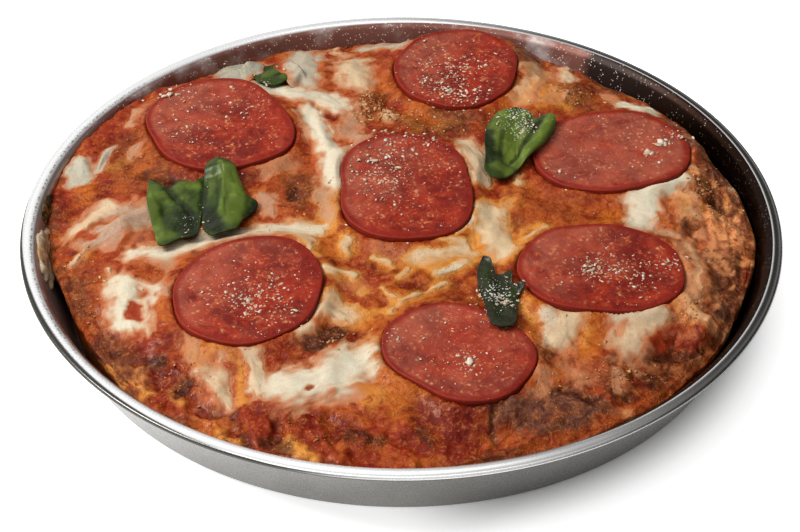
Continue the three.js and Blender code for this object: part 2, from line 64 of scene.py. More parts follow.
Array = np.ndarray
Mesh = bpy.types.Mesh
Material = bpy.types.Material
Colour = tuple[float, float, float]
Path = Sequence[tuple[float, float]]
Heights = Callable[[Array, Array], Array]


# ---- numbers


def mix(low: Array, high: Array, share: Array) -> Array:
    """Blend from low to high by share."""
    return low + (high - low) * share


def ease(low: float, high: float, value: Array) -> Array:
    """Rise smoothly from 0 at low to 1 at high."""
    t = np.clip((np.asarray(value, float) - low) / (high - low), 0, 1)
    return t * t * (3 - 2 * t)


def bump_at(angle: Array, bearing: float, spread: float) -> Array:
    """Give a bump of height 1 at a bearing in degrees, gone at spread either side."""
    away = np.abs((np.degrees(angle) - bearing + 180) % 360 - 180)
    return 1 - ease(0, spread, away)


def lattice_noise(points: Array, cell: float, seed: int) -> Array:
    """Smooth noise from -1 to 1.

    Args:
        points: positions, one row each, with two or three columns.
        cell: the size of one cell of the noise, in the positions' unit.
        seed: which noise.

    Returns:
        One value for each row.
    """
    scaled = points / cell + seed * 19.7
    base = np.floor(scaled).astype(np.int64)
    part = scaled - base
    soft = part**3 * (part * (part * 6 - 15) + 10)
    total = np.zeros(len(points))
    width = points.shape[1]
    for corner in range(2**width):
        bits = [(corner >> axis) & 1 for axis in range(width)]
        mixed = np.full(len(points), seed * 668265263 + 374761393, np.int64)
        weight = np.ones(len(points))
        for axis, bit in enumerate(bits):
            mixed = (mixed ^ (base[:, axis] + bit)) * 1274126177 & 0x7FFFFFFF
            mixed = mixed ^ (mixed >> 13)
            weight = weight * (soft[:, axis] if bit else 1 - soft[:, axis])
        mixed = mixed * 1911520717 & 0x7FFFFFFF
        total += weight * ((mixed >> 8) % 65536 / 32767.5 - 1)
    return total


def fractal(points: Array, cell: float, octaves: int, seed: int) -> Array:
    """Add octaves of noise, each half as large and half as high as the last."""
    total = np.zeros(len(points))
    for octave in range(octaves):
        total += lattice_noise(points, cell / 2**octave, seed + octave) / 2**octave
    return total


def plane(x: Array, y: Array) -> Array:
    """Put two coordinate arrays side by side as rows."""
    return np.stack([x, y], axis=-1)


def round_to(radius: Array, angle: Array) -> tuple[Array, Array]:
    """Give x and y at a radius and a bearing."""
    return radius * np.cos(angle), radius * np.sin(angle)


def sample_curve(path: Path, count: int = 240) -> Array:
    """Follow a smooth centripetal curve through the points of a path.

    Args:
        path: two or more points.
        count: how many points to return.

    Returns:
        Points evenly spaced along the curve, one a row.
    """
    knots = np.array(path, float)
    knots = np.vstack([2 * knots[0] - knots[1], knots, 2 * knots[-1] - knots[-2]])
    pieces = []
    for index in range(len(knots) - 3):
        p = knots[index:index + 4]
        gaps = np.maximum(np.linalg.norm(np.diff(p, axis=0), axis=1) ** 0.5, 1e-6)
        t = np.concatenate([[0], np.cumsum(gaps)])
        s = np.linspace(t[1], t[2], 60, endpoint=index == len(knots) - 4)[:, None]
        a = [((t[k + 1] - s) * p[k] + (s - t[k]) * p[k + 1]) / gaps[k] for k in range(3)]
        b = [((t[k + 2] - s) * a[k] + (s - t[k]) * a[k + 1]) / (t[k + 2] - t[k]) for k in range(2)]
        pieces.append(((t[2] - s) * b[0] + (s - t[1]) * b[1]) / (t[2] - t[1]))
    fine = np.vstack(pieces)
    run = np.concatenate([[0], np.cumsum(np.linalg.norm(np.diff(fine, axis=0), axis=1))])
    wanted = np.linspace(0, run[-1], count)
    return plane(np.interp(wanted, run, fine[:, 0]), np.interp(wanted, run, fine[:, 1]))


def distance_to_path(points: Array, path: Path) -> Array:
    """Measure how far each point is from a path of straight pieces, or from one dot."""
    if len(path) == 1:
        return np.linalg.norm(points - np.array(path[0]), axis=1)
    nearest = np.full(len(points), 1e9)
    for start, end in zip(path, path[1:]):
        a, b = np.array(start, float), np.array(end, float)
        along = np.clip((points - a) @ (b - a) / ((b - a) @ (b - a)), 0, 1)
        nearest = np.minimum(nearest, np.linalg.norm(points - a - along[:, None] * (b - a), axis=1))
    return nearest


# ---- mesh tools


SHELLS: dict[tuple[int, int], Mesh] = {}


def turned_shell(rows: int, steps: int) -> tuple[Mesh, Array, Array]:
    """Copy a turned shell, which is spun once for each number of rows and steps.

    Args:
        rows: how many bands lie between its two poles.
        steps: how many cells go round.

    Returns:
        The mesh, how far each point is along the rows, and its bearing.
    """
    if (rows, steps) not in SHELLS:
        SHELLS[rows, steps] = spin_shell(rows, steps)
    mesh = SHELLS[rows, steps].copy()
    points = read_points(mesh)
    return mesh, points[:, 2], np.arctan2(points[:, 1], points[:, 0])


def forget_shells() -> None:
    """Drop the shells that the pieces were copied from."""
    for mesh in SHELLS.values():
        bpy.data.meshes.remove(mesh)
    SHELLS.clear()


def spin_shell(rows: int, steps: int) -> Mesh:
    """Spin an arc into a closed ball whose height counts its rows from 0 to 1.

    Args:
        rows: how many bands lie between the two poles.
        steps: how many cells go round.

    Returns:
        The mesh, ready to be drawn into the shape of a piece.
    """
    bm = bmesh.new()
    arc = [
        bm.verts.new((math.sin(math.pi * row / rows), 0, row / rows))
        for row in range(rows + 1)
    ]
    edges = [bm.edges.new(pair) for pair in zip(arc, arc[1:])]
    bmesh.ops.spin(
        bm, geom=arc + edges, cent=(0, 0, 0), axis=(0, 0, 1), angle=TAU,
        steps=steps, use_merge=True, use_duplicate=False,
    )
    bmesh.ops.remove_doubles(bm, verts=bm.verts[:], dist=1e-5)
    mesh = bpy.data.meshes.new("shell")
    bm.to_mesh(mesh)
    bm.free()
    return mesh


def read_points(mesh: Mesh) -> Array:
    """Read a mesh's points as rows."""
    flat = np.zeros(len(mesh.vertices) * 3)
    mesh.vertices.foreach_get("co", flat)
    return flat.reshape(-1, 3)


def write_points(mesh: Mesh, x: Array, y: Array, z: Array) -> None:
    """Move a mesh's points to these millimetres and turn its faces outwards."""
    points = np.stack([x, y, z], axis=1) * MM
    mesh.vertices.foreach_set("co", points.astype(np.float32).ravel())
    bm = bmesh.new()
    bm.from_mesh(mesh)
    bmesh.ops.recalc_face_normals(bm, faces=bm.faces[:])
    bm.to_mesh(mesh)
    bm.free()
    mesh.polygons.foreach_set("use_smooth", np.ones(len(mesh.polygons), bool))
    mesh.update()


def soften(mesh: Mesh, times: int) -> None:
    """Smooth a mesh's heights, to take away steps where it drapes over something."""
    bm = bmesh.new()
    bm.from_mesh(mesh)
    for _ in range(times):
        bmesh.ops.smooth_vert(bm, verts=bm.verts[:], factor=0.5, use_axis_z=True)
    bm.to_mesh(mesh)
    bm.free()


def paint_value(mesh: Mesh, name: str, values: Array) -> None:
    """Store one number for each point under a name that a material can read."""
    layer = mesh.attributes.new(name, "FLOAT", "POINT")
    layer.data.foreach_set("value", values.astype(np.float32))


def paint_colour(mesh: Mesh, name: str, colours: Array) -> None:
    """Store one colour for each point under a name that a material can read."""
    layer = mesh.attributes.new(name, "FLOAT_COLOR", "POINT")
    rgba = np.ones((len(colours), 4), np.float32)
    rgba[:, :3] = np.clip(colours, 0, 1)
    layer.data.foreach_set("color", rgba.ravel())


def add_object(name: str, data: bpy.types.ID) -> bpy.types.Object:
    """Add an object to the scene."""
    made = bpy.data.objects.new(name, data)
    bpy.context.scene.collection.objects.link(made)
    return made


def put_piece(mesh: Mesh, name: str, slot: str, material: Material, nodes: Sequence[str] = ()) -> None:
    """Make a mesh a piece of the pizza, riding on the one body.

    Args:
        mesh: the finished mesh, in metres.
        name: the piece's name.
        slot: not used.
        material: its finish.
        nodes: the frame's nodes that it stands for.
    """
    mesh.name = name
    mesh.materials.clear()
    mesh.materials.append(material)
    piece = add_object(name, mesh)
    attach(piece, ROOT)
    if nodes:
        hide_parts(*nodes)
    LOG.info("%s: %d faces, in place of %s", name, len(mesh.polygons), nodes or "nothing")


class Supports:
    """The frame's nodes that something is dropped on."""

    def __init__(self, names: Sequence[str], nodes: dict[str, bpy.types.Object]) -> None:
        """Gather the faces of the named nodes into one tree."""
        bm = bmesh.new()
        for name in names:
            bm.from_mesh(nodes[name].data)
        bmesh.ops.remove_doubles(bm, verts=bm.verts[:], dist=1e-7)
        self.tree = BVHTree.FromBMesh(bm)
        bm.free()

    def height(self, x: float, y: float) -> float:
        """Find the highest point under (x, y), or a very low one where none is."""
        hit = self.tree.ray_cast(Vector((x * MM, y * MM, 80 * MM)), Vector((0, 0, -1)))
        return hit[0].z / MM if hit[0] is not None else -1e3

    def highest_near(self, x: Array, y: Array, reach: float) -> Array:
        """Find the highest point within reach of each (x, y)."""
        turns = [(0.0, 0.0)]
        turns += [(reach * math.cos(TAU * k / 6), reach * math.sin(TAU * k / 6)) for k in range(6)]
        places, back = np.unique(np.round(plane(x, y), 4), axis=0, return_inverse=True)
        found = [max(self.height(px + dx, py + dy) for dx, dy in turns) for px, py in places]
        return np.array(found)[back.ravel()]


# ---- the food's form


@dataclass(frozen=True)
class BearingBand:
    """Something that happens round one bearing of the pan, in degrees."""

    bearing: float
    spread: float
    size: float

    def at(self, angle: Array) -> Array:
        """Give its size at a bearing."""
        return self.size * bump_at(angle, self.bearing, self.spread)


def strongest(bands: Sequence[BearingBand], angle: Array) -> Array:
    """Give the largest of several bands at a bearing."""
    return np.max([band.at(angle) for band in bands], axis=0)


@dataclass(frozen=True)
class PanForm:
    """The pan's sizes: a flared wall of one steel sheet with a lip rolled outwards."""

    rim_radius: float = 126.93
    mouth_radius: float = 121.9
    base_radius: float = 112.6
    height: float = 25.9
    sheet: float = 1.0
    corner_radius: float = 2.4
    bead_radius: float = 0.85
    bead_middle: float = 24.85

    def wall_inside(self, z: Array) -> Array:
        """Give the radius of the wall's inner face at a height."""
        slope = (self.mouth_radius - self.base_radius) / self.height
        return self.mouth_radius - (self.height - z) * slope


@dataclass(frozen=True)
class SliceForm:
    """One pepperoni slice: number, place, half sizes, turn, tip, curl, squareness and painted sheen over the
    whole slice.
    """

    number: int
    x: float
    y: float
    across: float
    along: float
    turn: float
    pitch: float
    roll: float
    curl: float
    square: float = 0.0
    painted_sheen_all_over: float = 0.0

    def radius(self, bearing: Array) -> Array:
        """Give the outline's radius at a bearing from the middle."""
        local = bearing - math.radians(self.turn)
        along = np.cos(local) / self.along
        across = np.sin(local) / self.across
        phase = self.x * 0.37
        uneven = 1 + 0.018 * np.sin(2 * local + phase) + 0.016 * np.sin(3 * local + 2 * phase)
        uneven = uneven + 0.009 * np.sin(7 * local + phase) + self.square * np.cos(4 * local)
        return uneven / np.sqrt(along * along + across * across)

    def reach(self, x: Array, y: Array) -> Array:
        """Tell how far a point is from the middle, 1 being the outline."""
        dx, dy = x - self.x, y - self.y
        return np.hypot(dx, dy) / self.radius(np.arctan2(dy, dx))


SLICES = tuple(SliceForm(number, *row) for number, row in enumerate((
    (-64.6, 48.4, 25.4, 28.5, 118, 0.5, -1.5, 2.2, -0.03), (20.5, 86.5, 23, 25.4, 70, 3.5, 0, 1.6),
    (73.2, 32.6, 24.0, 28, 20, 0, 1.5, 1.0, -0.015, 0.9), (1.5, 10, 23.2, 30, 92, 1.5, 0, 0.6, -0.045),
    (-48.4, -44.5, 23.6, 26.3, 62, 0, 0, 0.8, 0.01), (64.5, -33.2, 21.8, 28, 4, 0, -1.0, 0.8, -0.02),
    (17.8, -74, 20.2, 24.4, 142, 0, 0, 0.6, -0.035, 0.4),
), 1))


@dataclass(frozen=True)
class FoodForm:
    """The crust and the domed topping that lies in it."""

    pan: PanForm = PanForm()
    gap: float = 0.3
    slices: tuple[SliceForm, ...] = SLICES
    crust_bottom: float = 1.3
    crust_floor: float = 8.0
    edge_height: float = 19.5
    edge_swell: float = 1.1
    wall_gap: float = 0.6
    toe_gap: float = 0.8
    inner_slant: float = 6.0
    roll_swell: float = 1.3
    dome_top: float = 26.6
    dome_fall: float = 2.0
    shoulder_start: float = 90.0
    shoulder_end: float = 118.0
    edge_step: float = 0.7
    lump: float = 0.55
    slice_clearance: float = 0.35
    covered_band: float = 1.8
    sheet_top: float = 28.0
    sheet_drop: float = 4.0
    sight_slope: float = 1.34
    gaps: tuple[BearingBand, ...] = (
        BearingBand(207, 24, 3.3), BearingBand(27, 25, 3.8), BearingBand(44, 22, 3.4),
        BearingBand(98, 22, 2.4), BearingBand(338, 14, 1.6),
    )
    bare: tuple[BearingBand, ...] = (
        BearingBand(301, 24, 19), BearingBand(330, 22, 13),
        BearingBand(2, 26, 11), BearingBand(204, 26, 5),
    )
    tight: tuple[BearingBand, ...] = (BearingBand(158, 40, 0.9), BearingBand(356, 26, 0.6))
    humps: tuple[BearingBand, ...] = (
        BearingBand(160, 34, 4.5), BearingBand(301, 26, 1.4), BearingBand(262, 24, 1.0),
    )

    def edge_gap(self, angle: Array) -> Array:
        """Give how far the crust's upper edge stands off the wall."""
        ripple = 0.35 * np.sin(9 * angle + 1.2) + 0.25 * np.sin(17 * angle)
        loose = self.wall_gap + strongest(self.gaps, angle) + 0.4 + ripple
        return np.maximum(loose - strongest(self.tight, angle), 0.25)

    def crust_edge(self, angle: Array) -> Array:
        """Give the height of the crust's raised edge."""
        swell = 0.5 * np.sin(3 * angle + 0.6) + 0.3 * np.sin(7 * angle + 2.1) + 0.2 * np.sin(13 * angle)
        return self.edge_height + self.edge_swell * swell + strongest(self.humps, angle)

    def crust_radius(self, angle: Array) -> Array:
        """Give the radius of the crust's upper edge."""
        return self.pan.wall_inside(self.crust_edge(angle)) - self.edge_gap(angle)

    def sauce_radius(self, angle: Array) -> Array:
        """Give the radius of the topping's edge."""
        bare = self.covered_band + strongest(self.bare, angle)
        return self.crust_radius(angle) - bare + 0.5 * np.sin(11 * angle + 0.4) - 0.6

    def dome(self, x: Array, y: Array) -> Array:
        """Give the height of the smooth dome."""
        r = np.hypot(x, y)
        dome = self.dome_top - self.dome_fall * (r / 100) ** 2
        edge = self.crust_edge(np.arctan2(y, x)) + self.edge_step
        return mix(dome, edge, ease(self.shoulder_start, self.shoulder_end, r))

    def lumps(self, x: Array, y: Array) -> Array:
        """Give the soft lumps all over the dome."""
        swell = np.sin(x / 7.1 + 1.3) * np.sin(y / 8.3 + 0.4)
        return self.lump * (swell + 0.7 * np.sin(x / 4.9 - y / 6.7 + 2.0))

    def slice_plane(self, cut: SliceForm, x: Array, y: Array) -> Array:
        """Give the height of a slice's flat underside."""
        step = 4.0
        ahead = np.array([cut.x + step, cut.x - step, cut.x, cut.x, cut.x])
        aside = np.array([cut.y, cut.y, cut.y + step, cut.y - step, cut.y])
        heights = self.dome(ahead, aside)
        slope_x = (heights[0] - heights[1]) / (2 * step) + math.tan(math.radians(cut.roll))
        slope_y = (heights[2] - heights[3]) / (2 * step) + math.tan(math.radians(cut.pitch))
        return heights[4] + 0.2 + slope_x * (x - cut.x) + slope_y * (y - cut.y)

    def topping(self, x: Array, y: Array) -> Array:
        """Give the height of the lumpy topping, pressed flat under each slice."""
        height = self.dome(x, y) + self.lumps(x, y)
        for cut in self.slices:
            pressed = 1 - ease(1.16, 1.55, cut.reach(x, y))
            height = mix(height, self.slice_plane(cut, x, y) - self.slice_clearance, pressed)
        return height

    def seen(self, x: Array, y: Array, z: Array) -> Array:
        """Slide places along the line of sight onto the smooth sheet that strokes are laid on."""
        r = np.hypot(x, y)
        sheet = self.sheet_top - self.dome_fall * (r / 100) ** 2 - self.sheet_drop * ease(100, 117, r)
        return plane(x, y + self.sight_slope * (z - sheet))

    def nearest_slice(self, x: Array, y: Array) -> Array:
        """Give the reach of the slice that a point is nearest to."""
        return np.min([cut.reach(x, y) for cut in self.slices], axis=0)


# ---- what is painted on


class Tint(Enum):
    """The colours of the baked food and of the leaves."""

    MOZZARELLA = (0.53, 0.500, 0.380)
    PALE = (0.33, 0.325, 0.25)
    CREAM = (0.50, 0.370, 0.215)
    PINK = (0.36, 0.205, 0.125)
    ASH = (0.22, 0.245, 0.190)
    ROSE = (0.30, 0.175, 0.110)
    HONEY = (0.55, 0.235, 0.040)
    BLUSH = (0.42, 0.150, 0.070)
    GOLD = (0.55, 0.235, 0.045)
    AMBER = (0.42, 0.112, 0.013)
    ORANGE = (0.31, 0.060, 0.011)
    TOMATO = (0.250, 0.026, 0.006)
    SAUCE = (0.145, 0.009, 0.002)
    BISCUIT = (0.78, 0.36, 0.145)
    BROWN = (0.140, 0.036, 0.011)
    UMBER = (0.060, 0.013, 0.005)
    CHAR = (0.018, 0.006, 0.003)
    # The pale and dark leaf greens also serve as painted highlights on raised folds and painted shade in
    # creases.
    LEAF_LIGHT = (0.105, 0.145, 0.020)
    LEAF = (0.026, 0.043, 0.006)
    LEAF_DARK = (0.006, 0.009, 0.003)
    LEAF_WILTED = (0.017, 0.016, 0.009)
    TOAST = (0.150, 0.058, 0.034)

    def spread(self, count: int) -> Array:
        """Give the tint for each of this many points."""
        return np.tile(np.array(self.value), (count, 1))


@dataclass(frozen=True)
class Dab:
    """One stroke of a tint: its path, half width, strength, rise and how torn its edge is."""

    tint: Tint
    path: Path
    width: float
    strength: float = 1.0
    rise: float = 0.0
    torn: float = 0.35
    streaky: float = 0.0

    def cover(self, points: Array, tear: Array) -> Array:
        """Give how much of the tint lies on each point."""
        away = distance_to_path(points, self.path) / self.width + tear * self.torn
        near = away < 2.4
        if self.streaky and near.any():
            away[near] += self.streaky * self.fibres(points[near])
        return 1 - ease(0.4 - 0.9 * self.streaky, 1.25, away)

    def halo(self, points: Array, tear: Array) -> Array:
        """Give how strongly oil has spread from the stroke into what lies round it."""
        return 1 - ease(0, 3.0, distance_to_path(points, self.path) - self.width * 0.8 + tear)

    def fibres(self, points: Array) -> Array:
        """Give noise that is drawn out along the stroke, like pulled cheese."""
        ends = np.array([self.path[0], self.path[-1]], float)
        head = ends[1] - ends[0] if len(self.path) > 1 else np.array([0.0, 1.0])
        head = head / np.linalg.norm(head)
        side = np.array([-head[1], head[0]])
        return fractal(plane(points @ head / 5.0, points @ side / 1.3), 1.0, 2, 131)


def dabs(tint: Tint, rows: Iterable[tuple[float, ...]], streaky: float = 0.0) -> list[Dab]:
    """Make dabs of one tint.

    Args:
        tint: their colour.
        rows: x and y in turn along each path, then half width and, in tenths, strength and, in
            a row with an odd count, rise.
        streaky: how far they are drawn out into fibres.

    Returns:
        One dab for each row.
    """
    made = []
    for row in rows:
        end = len(row) - 2 - len(row) % 2
        path = list(zip(row[:end:2], row[1:end:2]))
        tenths = [value / 10 for value in row[end + 1:]]
        made.append(Dab(tint, path, row[end], *tenths, streaky=streaky))
    return made


BAKED = [
    # oily fields of orange, red and amber
    *dabs(Tint.ORANGE, [
        (-112, 8, -104, 26, 9, 5), (-98, 30, -94, 14, 9, 7), (-104, -28, -96, -44, 7, 8),
        (-100, -38, -94, -48, 4.5, 10, 4), (-98, -52, -99, -58, 7, 10, 5), (-86, -32, -78, -34, 8, 8, 3),
        (-42, 0, -46, -8, 9, 7), (-30, 16, -42, 22, 8, 6), (-12, 90, -8, 74, 8, 7),
        (-30, 84, -22, 74, 9, 8), (52, 6, 46, -4, 13, 9), (48, 10, 64, 2, 9, 8), (40, 22, 36, 34, 7, 6),
        (-12, -50, -5, -62, 9, 7), (0, -24, 14, -30, 8, 6), (40, -62, 42, -74, 8, 6),
        (-70, -72, -48, -76, 9, 6), (-8, -92, 8, -102, 9, 5), (62, -100, 84, -86, 8, 9),
        (66, -93, 70, -95, 4.5, 10, 8), (98, -10, 104, -24, 8, 7), (-78, 24, -86, 32, 8, 6),
        (60, 66, 70, 60, 7, 5), (45, 112, 55, 100, 2.6, 8, 4), (-46, 100, -42, 96, 4, 6),
    ]),
    *dabs(Tint.TOMATO, [
        (-106, 52, -104, 66, 9, 9), (-118, 20, -112, 4, 6, 9), (-104, 14, -100, 18, 4, 7),
        (-94, -24, -100, -30, 5, 8), (-106, -12, -104, -15, 3, 9), (-78, -56, -74, -72, 5, 9),
        (-84, -64, -92, -70, 6, 6), (-52, -80, -48, -92, 4, 7), (-44, -94, -36, -84, 4, 7),
        (-38, -74, -34, -80, 5, 9), (-60, -94, -46, -99, 5, 8), (-44, -102, -22, -104, 8, 9, 4),
        (-16, -104, 0, -110, 7, 8), (-12, -40, -6, -52, 8, 8), (-20, -42, -12, -22, 5, 7),
        (-4, -22, 6, -22, 5, 6), (86, -66, 78, -70, 6, 10, 5), (78, -74, 72, -80, 4, 9),
        (30, 8, 34, 0, 6, 6), (52, -80, 60, -86, 7, 6), (60, 98, 56, 90, 4, 7), (70, 90, 74, 80, 5, 7),
        (84, 76, 94, 68, 6, 7), (-52, 32, -42, 38, 5, 6), (-43, 62, -40, 70, 3.4, 9),
        (-84, 88, -76, 86, 5, 7), (22, 54, 26, 46, 5, 5), (-20, 98, -16, 104, 4, 7),
        (-2, 98, -4, 104, 3, 6), (-40, -8, -48, -4, 4, 6), (-24, -40, -20, -46, 4, 6),
    ]),
    *dabs(Tint.AMBER, [
        (-110, 16, -106, 8, 4, 9, 3), (-100, 26, -96, 18, 4, 5), (46, 64, 58, 70, 9, 9),
        (52, 80, 58, 86, 5, 8), (40, 66, 38, 74, 4, 7), (6, 60, 12, 50, 6, 8), (-4, 68, -8, 76, 5, 5),
        (-32, 94, -33, 80, 3.5, 8), (-12, 82, -18, 76, 4, 6), (-6, -90, 6, -98, 9, 9),
        (-12, -104, -20, -100, 5, 5), (72, -4, 66, -9, 4, 9), (38, -48, 44, -56, 5, 10),
        (40, -64, 42, -72, 4, 8), (58, -58, 56, -74, 4, 9), (-2, -72, -8, -82, 7, 7),
        (-60, -68, -46, -72, 5, 8), (-62, -72, -60, -80, 4, 7), (-48, -84, -46, -94, 3, 9),
        (-76, -52, -74, -58, 3, 6), (-60, -100, -50, -104, 4, 8), (-24, -12, -22, -24, 5, 9),
        (-8, -56, -12, -60, 5, 9), (0, -44, 10, -50, 5, 7), (0, -34, 12, -30, 4, 9),
        (24, -22, 30, -30, 5, 8), (36, -18, 34, -30, 4, 8), (94, 6, 100, -4, 6, 8),
        (96, -38, 98, -54, 5, 7), (90, 22, 98, 26, 5, 6), (56, -76, 50, -82, 6, 4),
        (-88, 30, -92, 24, 5, 5),
    ]),
    *dabs(Tint.GOLD, [
        (52, 68, 56, 74, 7, 9, 3), (50, 84, 46, 74, 4, 8, 3), (60, 62, 62, 68, 3, 7),
        (22, -31, 8, -31, 3.4, 9, 4), (40, -13, 48, -11, 2.4, 9, 4), (40, -20, 36, -24, 3.5, 9),
        (26, -18, 24, -22, 4, 8), (-30, -22, -27, -28, 2.4, 7), (-26, -10, -22, -14, 2.6, 9),
        (-2, -50, -4, -56, 2.4, 9, 4), (-46, -14, -56, -17, 2.4, 5), (96, 8, 98, -2, 5, 8, 4),
        (14, 47, 18, 50, 4, 8, 6), (-33, -109, -27, -113, 3.2, 10, 8), (-15, -88, -8, -94, 5, 6),
        (-104, -22, 4, 10, 8), (90, -52, 95, -58, 5, 10, 12), (58, -62, 57, -70, 2.6, 7),
        (38, -52, 42, -58, 2.6, 8), (-79, -80, -77, -88, 2.6, 9, 8), (-70, -86, -67, -91, 2.4, 7, 6),
        (-14, -58, -8, -56, 2.4, 8, 4), (70, -70, 72, -68, 3, 6), (6, 46, 2, 54, 3, 7, 4),
        (94, 18, 92, 10, 3, 8), (97, -32, 96, -36, 3, 9, 7), (-53, -104, -48, -107, 2.4, 9, 8),
        (-96, 30, -100, 24, 3, 6, 3), (84, 79, 86, 77, 2.6, 7, 3),
    ]),
    *dabs(Tint.BLUSH, [
        (-8, -24, -2, -28, 6, 7, 4), (-14, -42, -18, -38, 4, 6, 3), (54, -84, 50, -76, 6, 6, 4),
        (58, 96, 57, 88, 3, 6), (-60, -96, -52, -94, 4, 5), (108, -2, 104, -20, 6, 6, 5),
        (20, 58, 24, 52, 4, 6), (-88, -14, -84, -20, 5, 5), (-6, 112, -2, 106, 4, 5),
        (84, 80, 90, 74, 4, 5), (-60, -86, -58, -78, 5, 5), (82, -62, 88, -60, 3, 6, 4),
        (-90, 66, -94, 58, 4, 5),
    ]),
    *dabs(Tint.TOAST, [
        (28, -100, 40, -96, 56, -95, 5.5, 10, 10), (36, -103, 52, -101, 4, 8, 6),
        (114, 14, 116, 0, 114, -16, 3.4, 9, 12), (96, -8, 100, -12, 4, 7), (60, -94, 64, -97, 2.2, 8, 4),
        (104, -22, 108, -38, 5, 9, 5), (48, 108, 46, 92, 5, 9, 3), (80, 82, 78, 74, 4, 8, 3),
        (110, 46, 108, 26, 5, 9, 3), (-96, -70, -88, -78, 5, 7, 3), (96, -46, 100, -58, 3, 7, 3),
    ]),
    *dabs(Tint.ORANGE, [
        (32, -109, 50, -107, 66, -100, 4.5, 9, 3), (112, -12, 114, -24, 2, 8, 5),
        (104, -44, 96, -60, 3, 7, 3), (84, -84, 92, -74, 4, 6, 3),
    ]),
    *dabs(Tint.BISCUIT, [
        (103, 22, 96, 14, 3.6, 8, 5), (106, 3, 108, -16, 3.4, 7, 6), (98, 2, 95, 8, 4, 7, 4),
        (92, -52, 94, -58, 4.2, 7, 14), (95, -16, 97, -30, 98, -42, 2.6, 7, 7),
        (117, -4, 119, -14, 116, -22, 2.2, 5, 9), (112, -6, 113, -18, 1.6, 5, 6),
        (-80, -79, -78, -84, 1.6, 7, 4), (68, -95, 3, 6, 4),
    ]),
    *dabs(Tint.TOAST, [
        (103, 46, 109, 33, 114, 19, 5.5, 10), (101, -27, 106, -38, 102, -49, 5, 10, -7),
        (109, -24, 109, -40, 3.2, 9, 2), (101, -12, 97, -4, 2.4, 8, -2), (104, -54, 104, -62, 3, 7, 2),
        (98, 52, 95, 58, 3, 7),
    ]),
    *dabs(Tint.TOMATO, [(113, -27, 111, -45, 1.3, 9, 4), (96, -46, 98, -58, 1.4, 7, -6)]),
    *dabs(Tint.GOLD, [
        (-65, -72, -60, -80, 3.4, 7), (-50, -78, -47, -95, 2.6, 8), (-58, -73, -52, -75, 2.6, 6),
        (-95, -73, -88, -79, 0.8, 9, 5), (-92, -77, -84, -84, 0.7, 8, 5), (-90, -75, -82, -78, 0.7, 8, 5),
        (-84, -81, -76, -88, 0.7, 8, 5),
    ]),
    *dabs(Tint.TOMATO, [(-52, -80, -50, -92, 1.6, 8.5, -2), (-41, -76, -38, -84, 1.8, 8, -3)]),
    *dabs(Tint.GOLD, [(103, 18, 107, 12, 3.4, 6, 12), (112, 12, 110, 6, 1.8, 6, 6)]),
    *dabs(Tint.CREAM, [(114.6, 18, 116, 14, 1.8, 8, 8)]),
    # sauce in the hollows
    *dabs(Tint.SAUCE, [
        (-118, 14, -114, 0, 3.5, 9), (-70, -68, -82, -74, 4, 6, -5), (-74, -82, -66, -86, 5, 10, -14),
        (-30, -102, -14, -106, 4, 8, -10), (-38, -100, -44, -98, 3, 7, -8), (8, -100, 20, -104, 7, 9, -6),
        (18, -112, 4, -110, 5, 7), (78, -74, 88, -68, 3, 9, -10), (-66, 20, -76, 16, 4, 8, -4),
        (-52, -73, -44, -72, 2.4, 5), (2, -42, 8, -45, 2.6, 9, -9), (-8, -36, -2, -34, 2.6, 6, -4),
        (-104, 46, -96, 46, 4, 6), (-101, 14, -104, 6, 3, 8, -5), (-104, -15, 2, 8, -6),
        (-50, -103, 3, 10, -16), (-36, -105, 3.4, 10, -18), (72, -82, 75, -79, 3, 9, -12),
        (-36, -78, -34, -82, 2, 8, -8), (-30, -74, -24, -72, 2.5, 8, -5), (94, 74, 97, 62, 3, 8),
        (28, -96, 34, -92, 3, 7), (-22, -104, -18, -108, 2.4, 9, -12), (-60, -97, -56, -99, 2, 9, -9),
        (24, 5, 27, -2, 2.5, 7, -4), (46, 22, 53, 11, 64, 7, 2, 9, 2),
    ]),
    # browned and burnt spots
    *dabs(Tint.BROWN, [
        (-10, 66, -14, 54, 7, 8, 3), (4, 50, 14, 42, 6, 6), (-36, 14, -35, 4, 6, 8, 3),
        (64, 78, 67, 64, 5.5, 8, 5), (46, 104, 47, 94, 5.5, 9, 3), (72, 90, 72, 80, 4, 8, 3),
        (80, 82, 79, 76, 3.5, 9, 3), (14, 60, 20, 46, 6, 8, 3), (36, -6, 38, -10, 3.5, 7, -3),
        (-92, -66, -84, -76, 6, 8, 3), (-98, 44, -92, 40, 5, 5), (65, -78, 66, -88, 4.5, 9, 6),
        (44, -72, 44, -77, 3.8, 9, 3), (62, -60, 62, -70, 2.4, 7), (97, -7, 98, -10, 4, 9, 4),
        (-84, 20, -80, 14, 4, 8), (-10, 36, -16, 26, 4, 4), (106, 18, 106, 6, 5, 9, 12),
        (-118, -4, -117, 6, 3, 7), (106, -24, 108, -36, 5, 9, 6), (114, 6, 117, -4, 116, -20, 2.6, 9, 12),
        (76, -76, 92, -70, 4, 8, 6), (78, -82, 90, -78, 4, 6, 4), (-106, -36, -102, -50, 4, 8, 5),
        (110, 44, 108, 30, 5, 9), (-96, 36, -90, 28, 4, 4), (-101, 34, -92, 14, 6, 4, 3),
        (-105, -28, -100, -46, 4, 4, 3), (-98, -52, -94, -60, 4, 3), (-84, 34, -80, 22, 4, 5),
        (-32, -76, -36, -80, 3, 4), (22, 56, 30, 50, 4, 5), (50, 2, 56, -4, 5, 2.5),
    ]),
    *dabs(Tint.UMBER, [
        (-28, -70, -20, -65, 3.6, 10, -8), (-20, -64, -18, -69, 2.4, 9, 4),
        (-76, -75, -73, -77, 2.4, 10, -3), (-89, -71, -86, -71, 1.8, 8, -3), (-36, 12, -37, 5, 2, 9, -5),
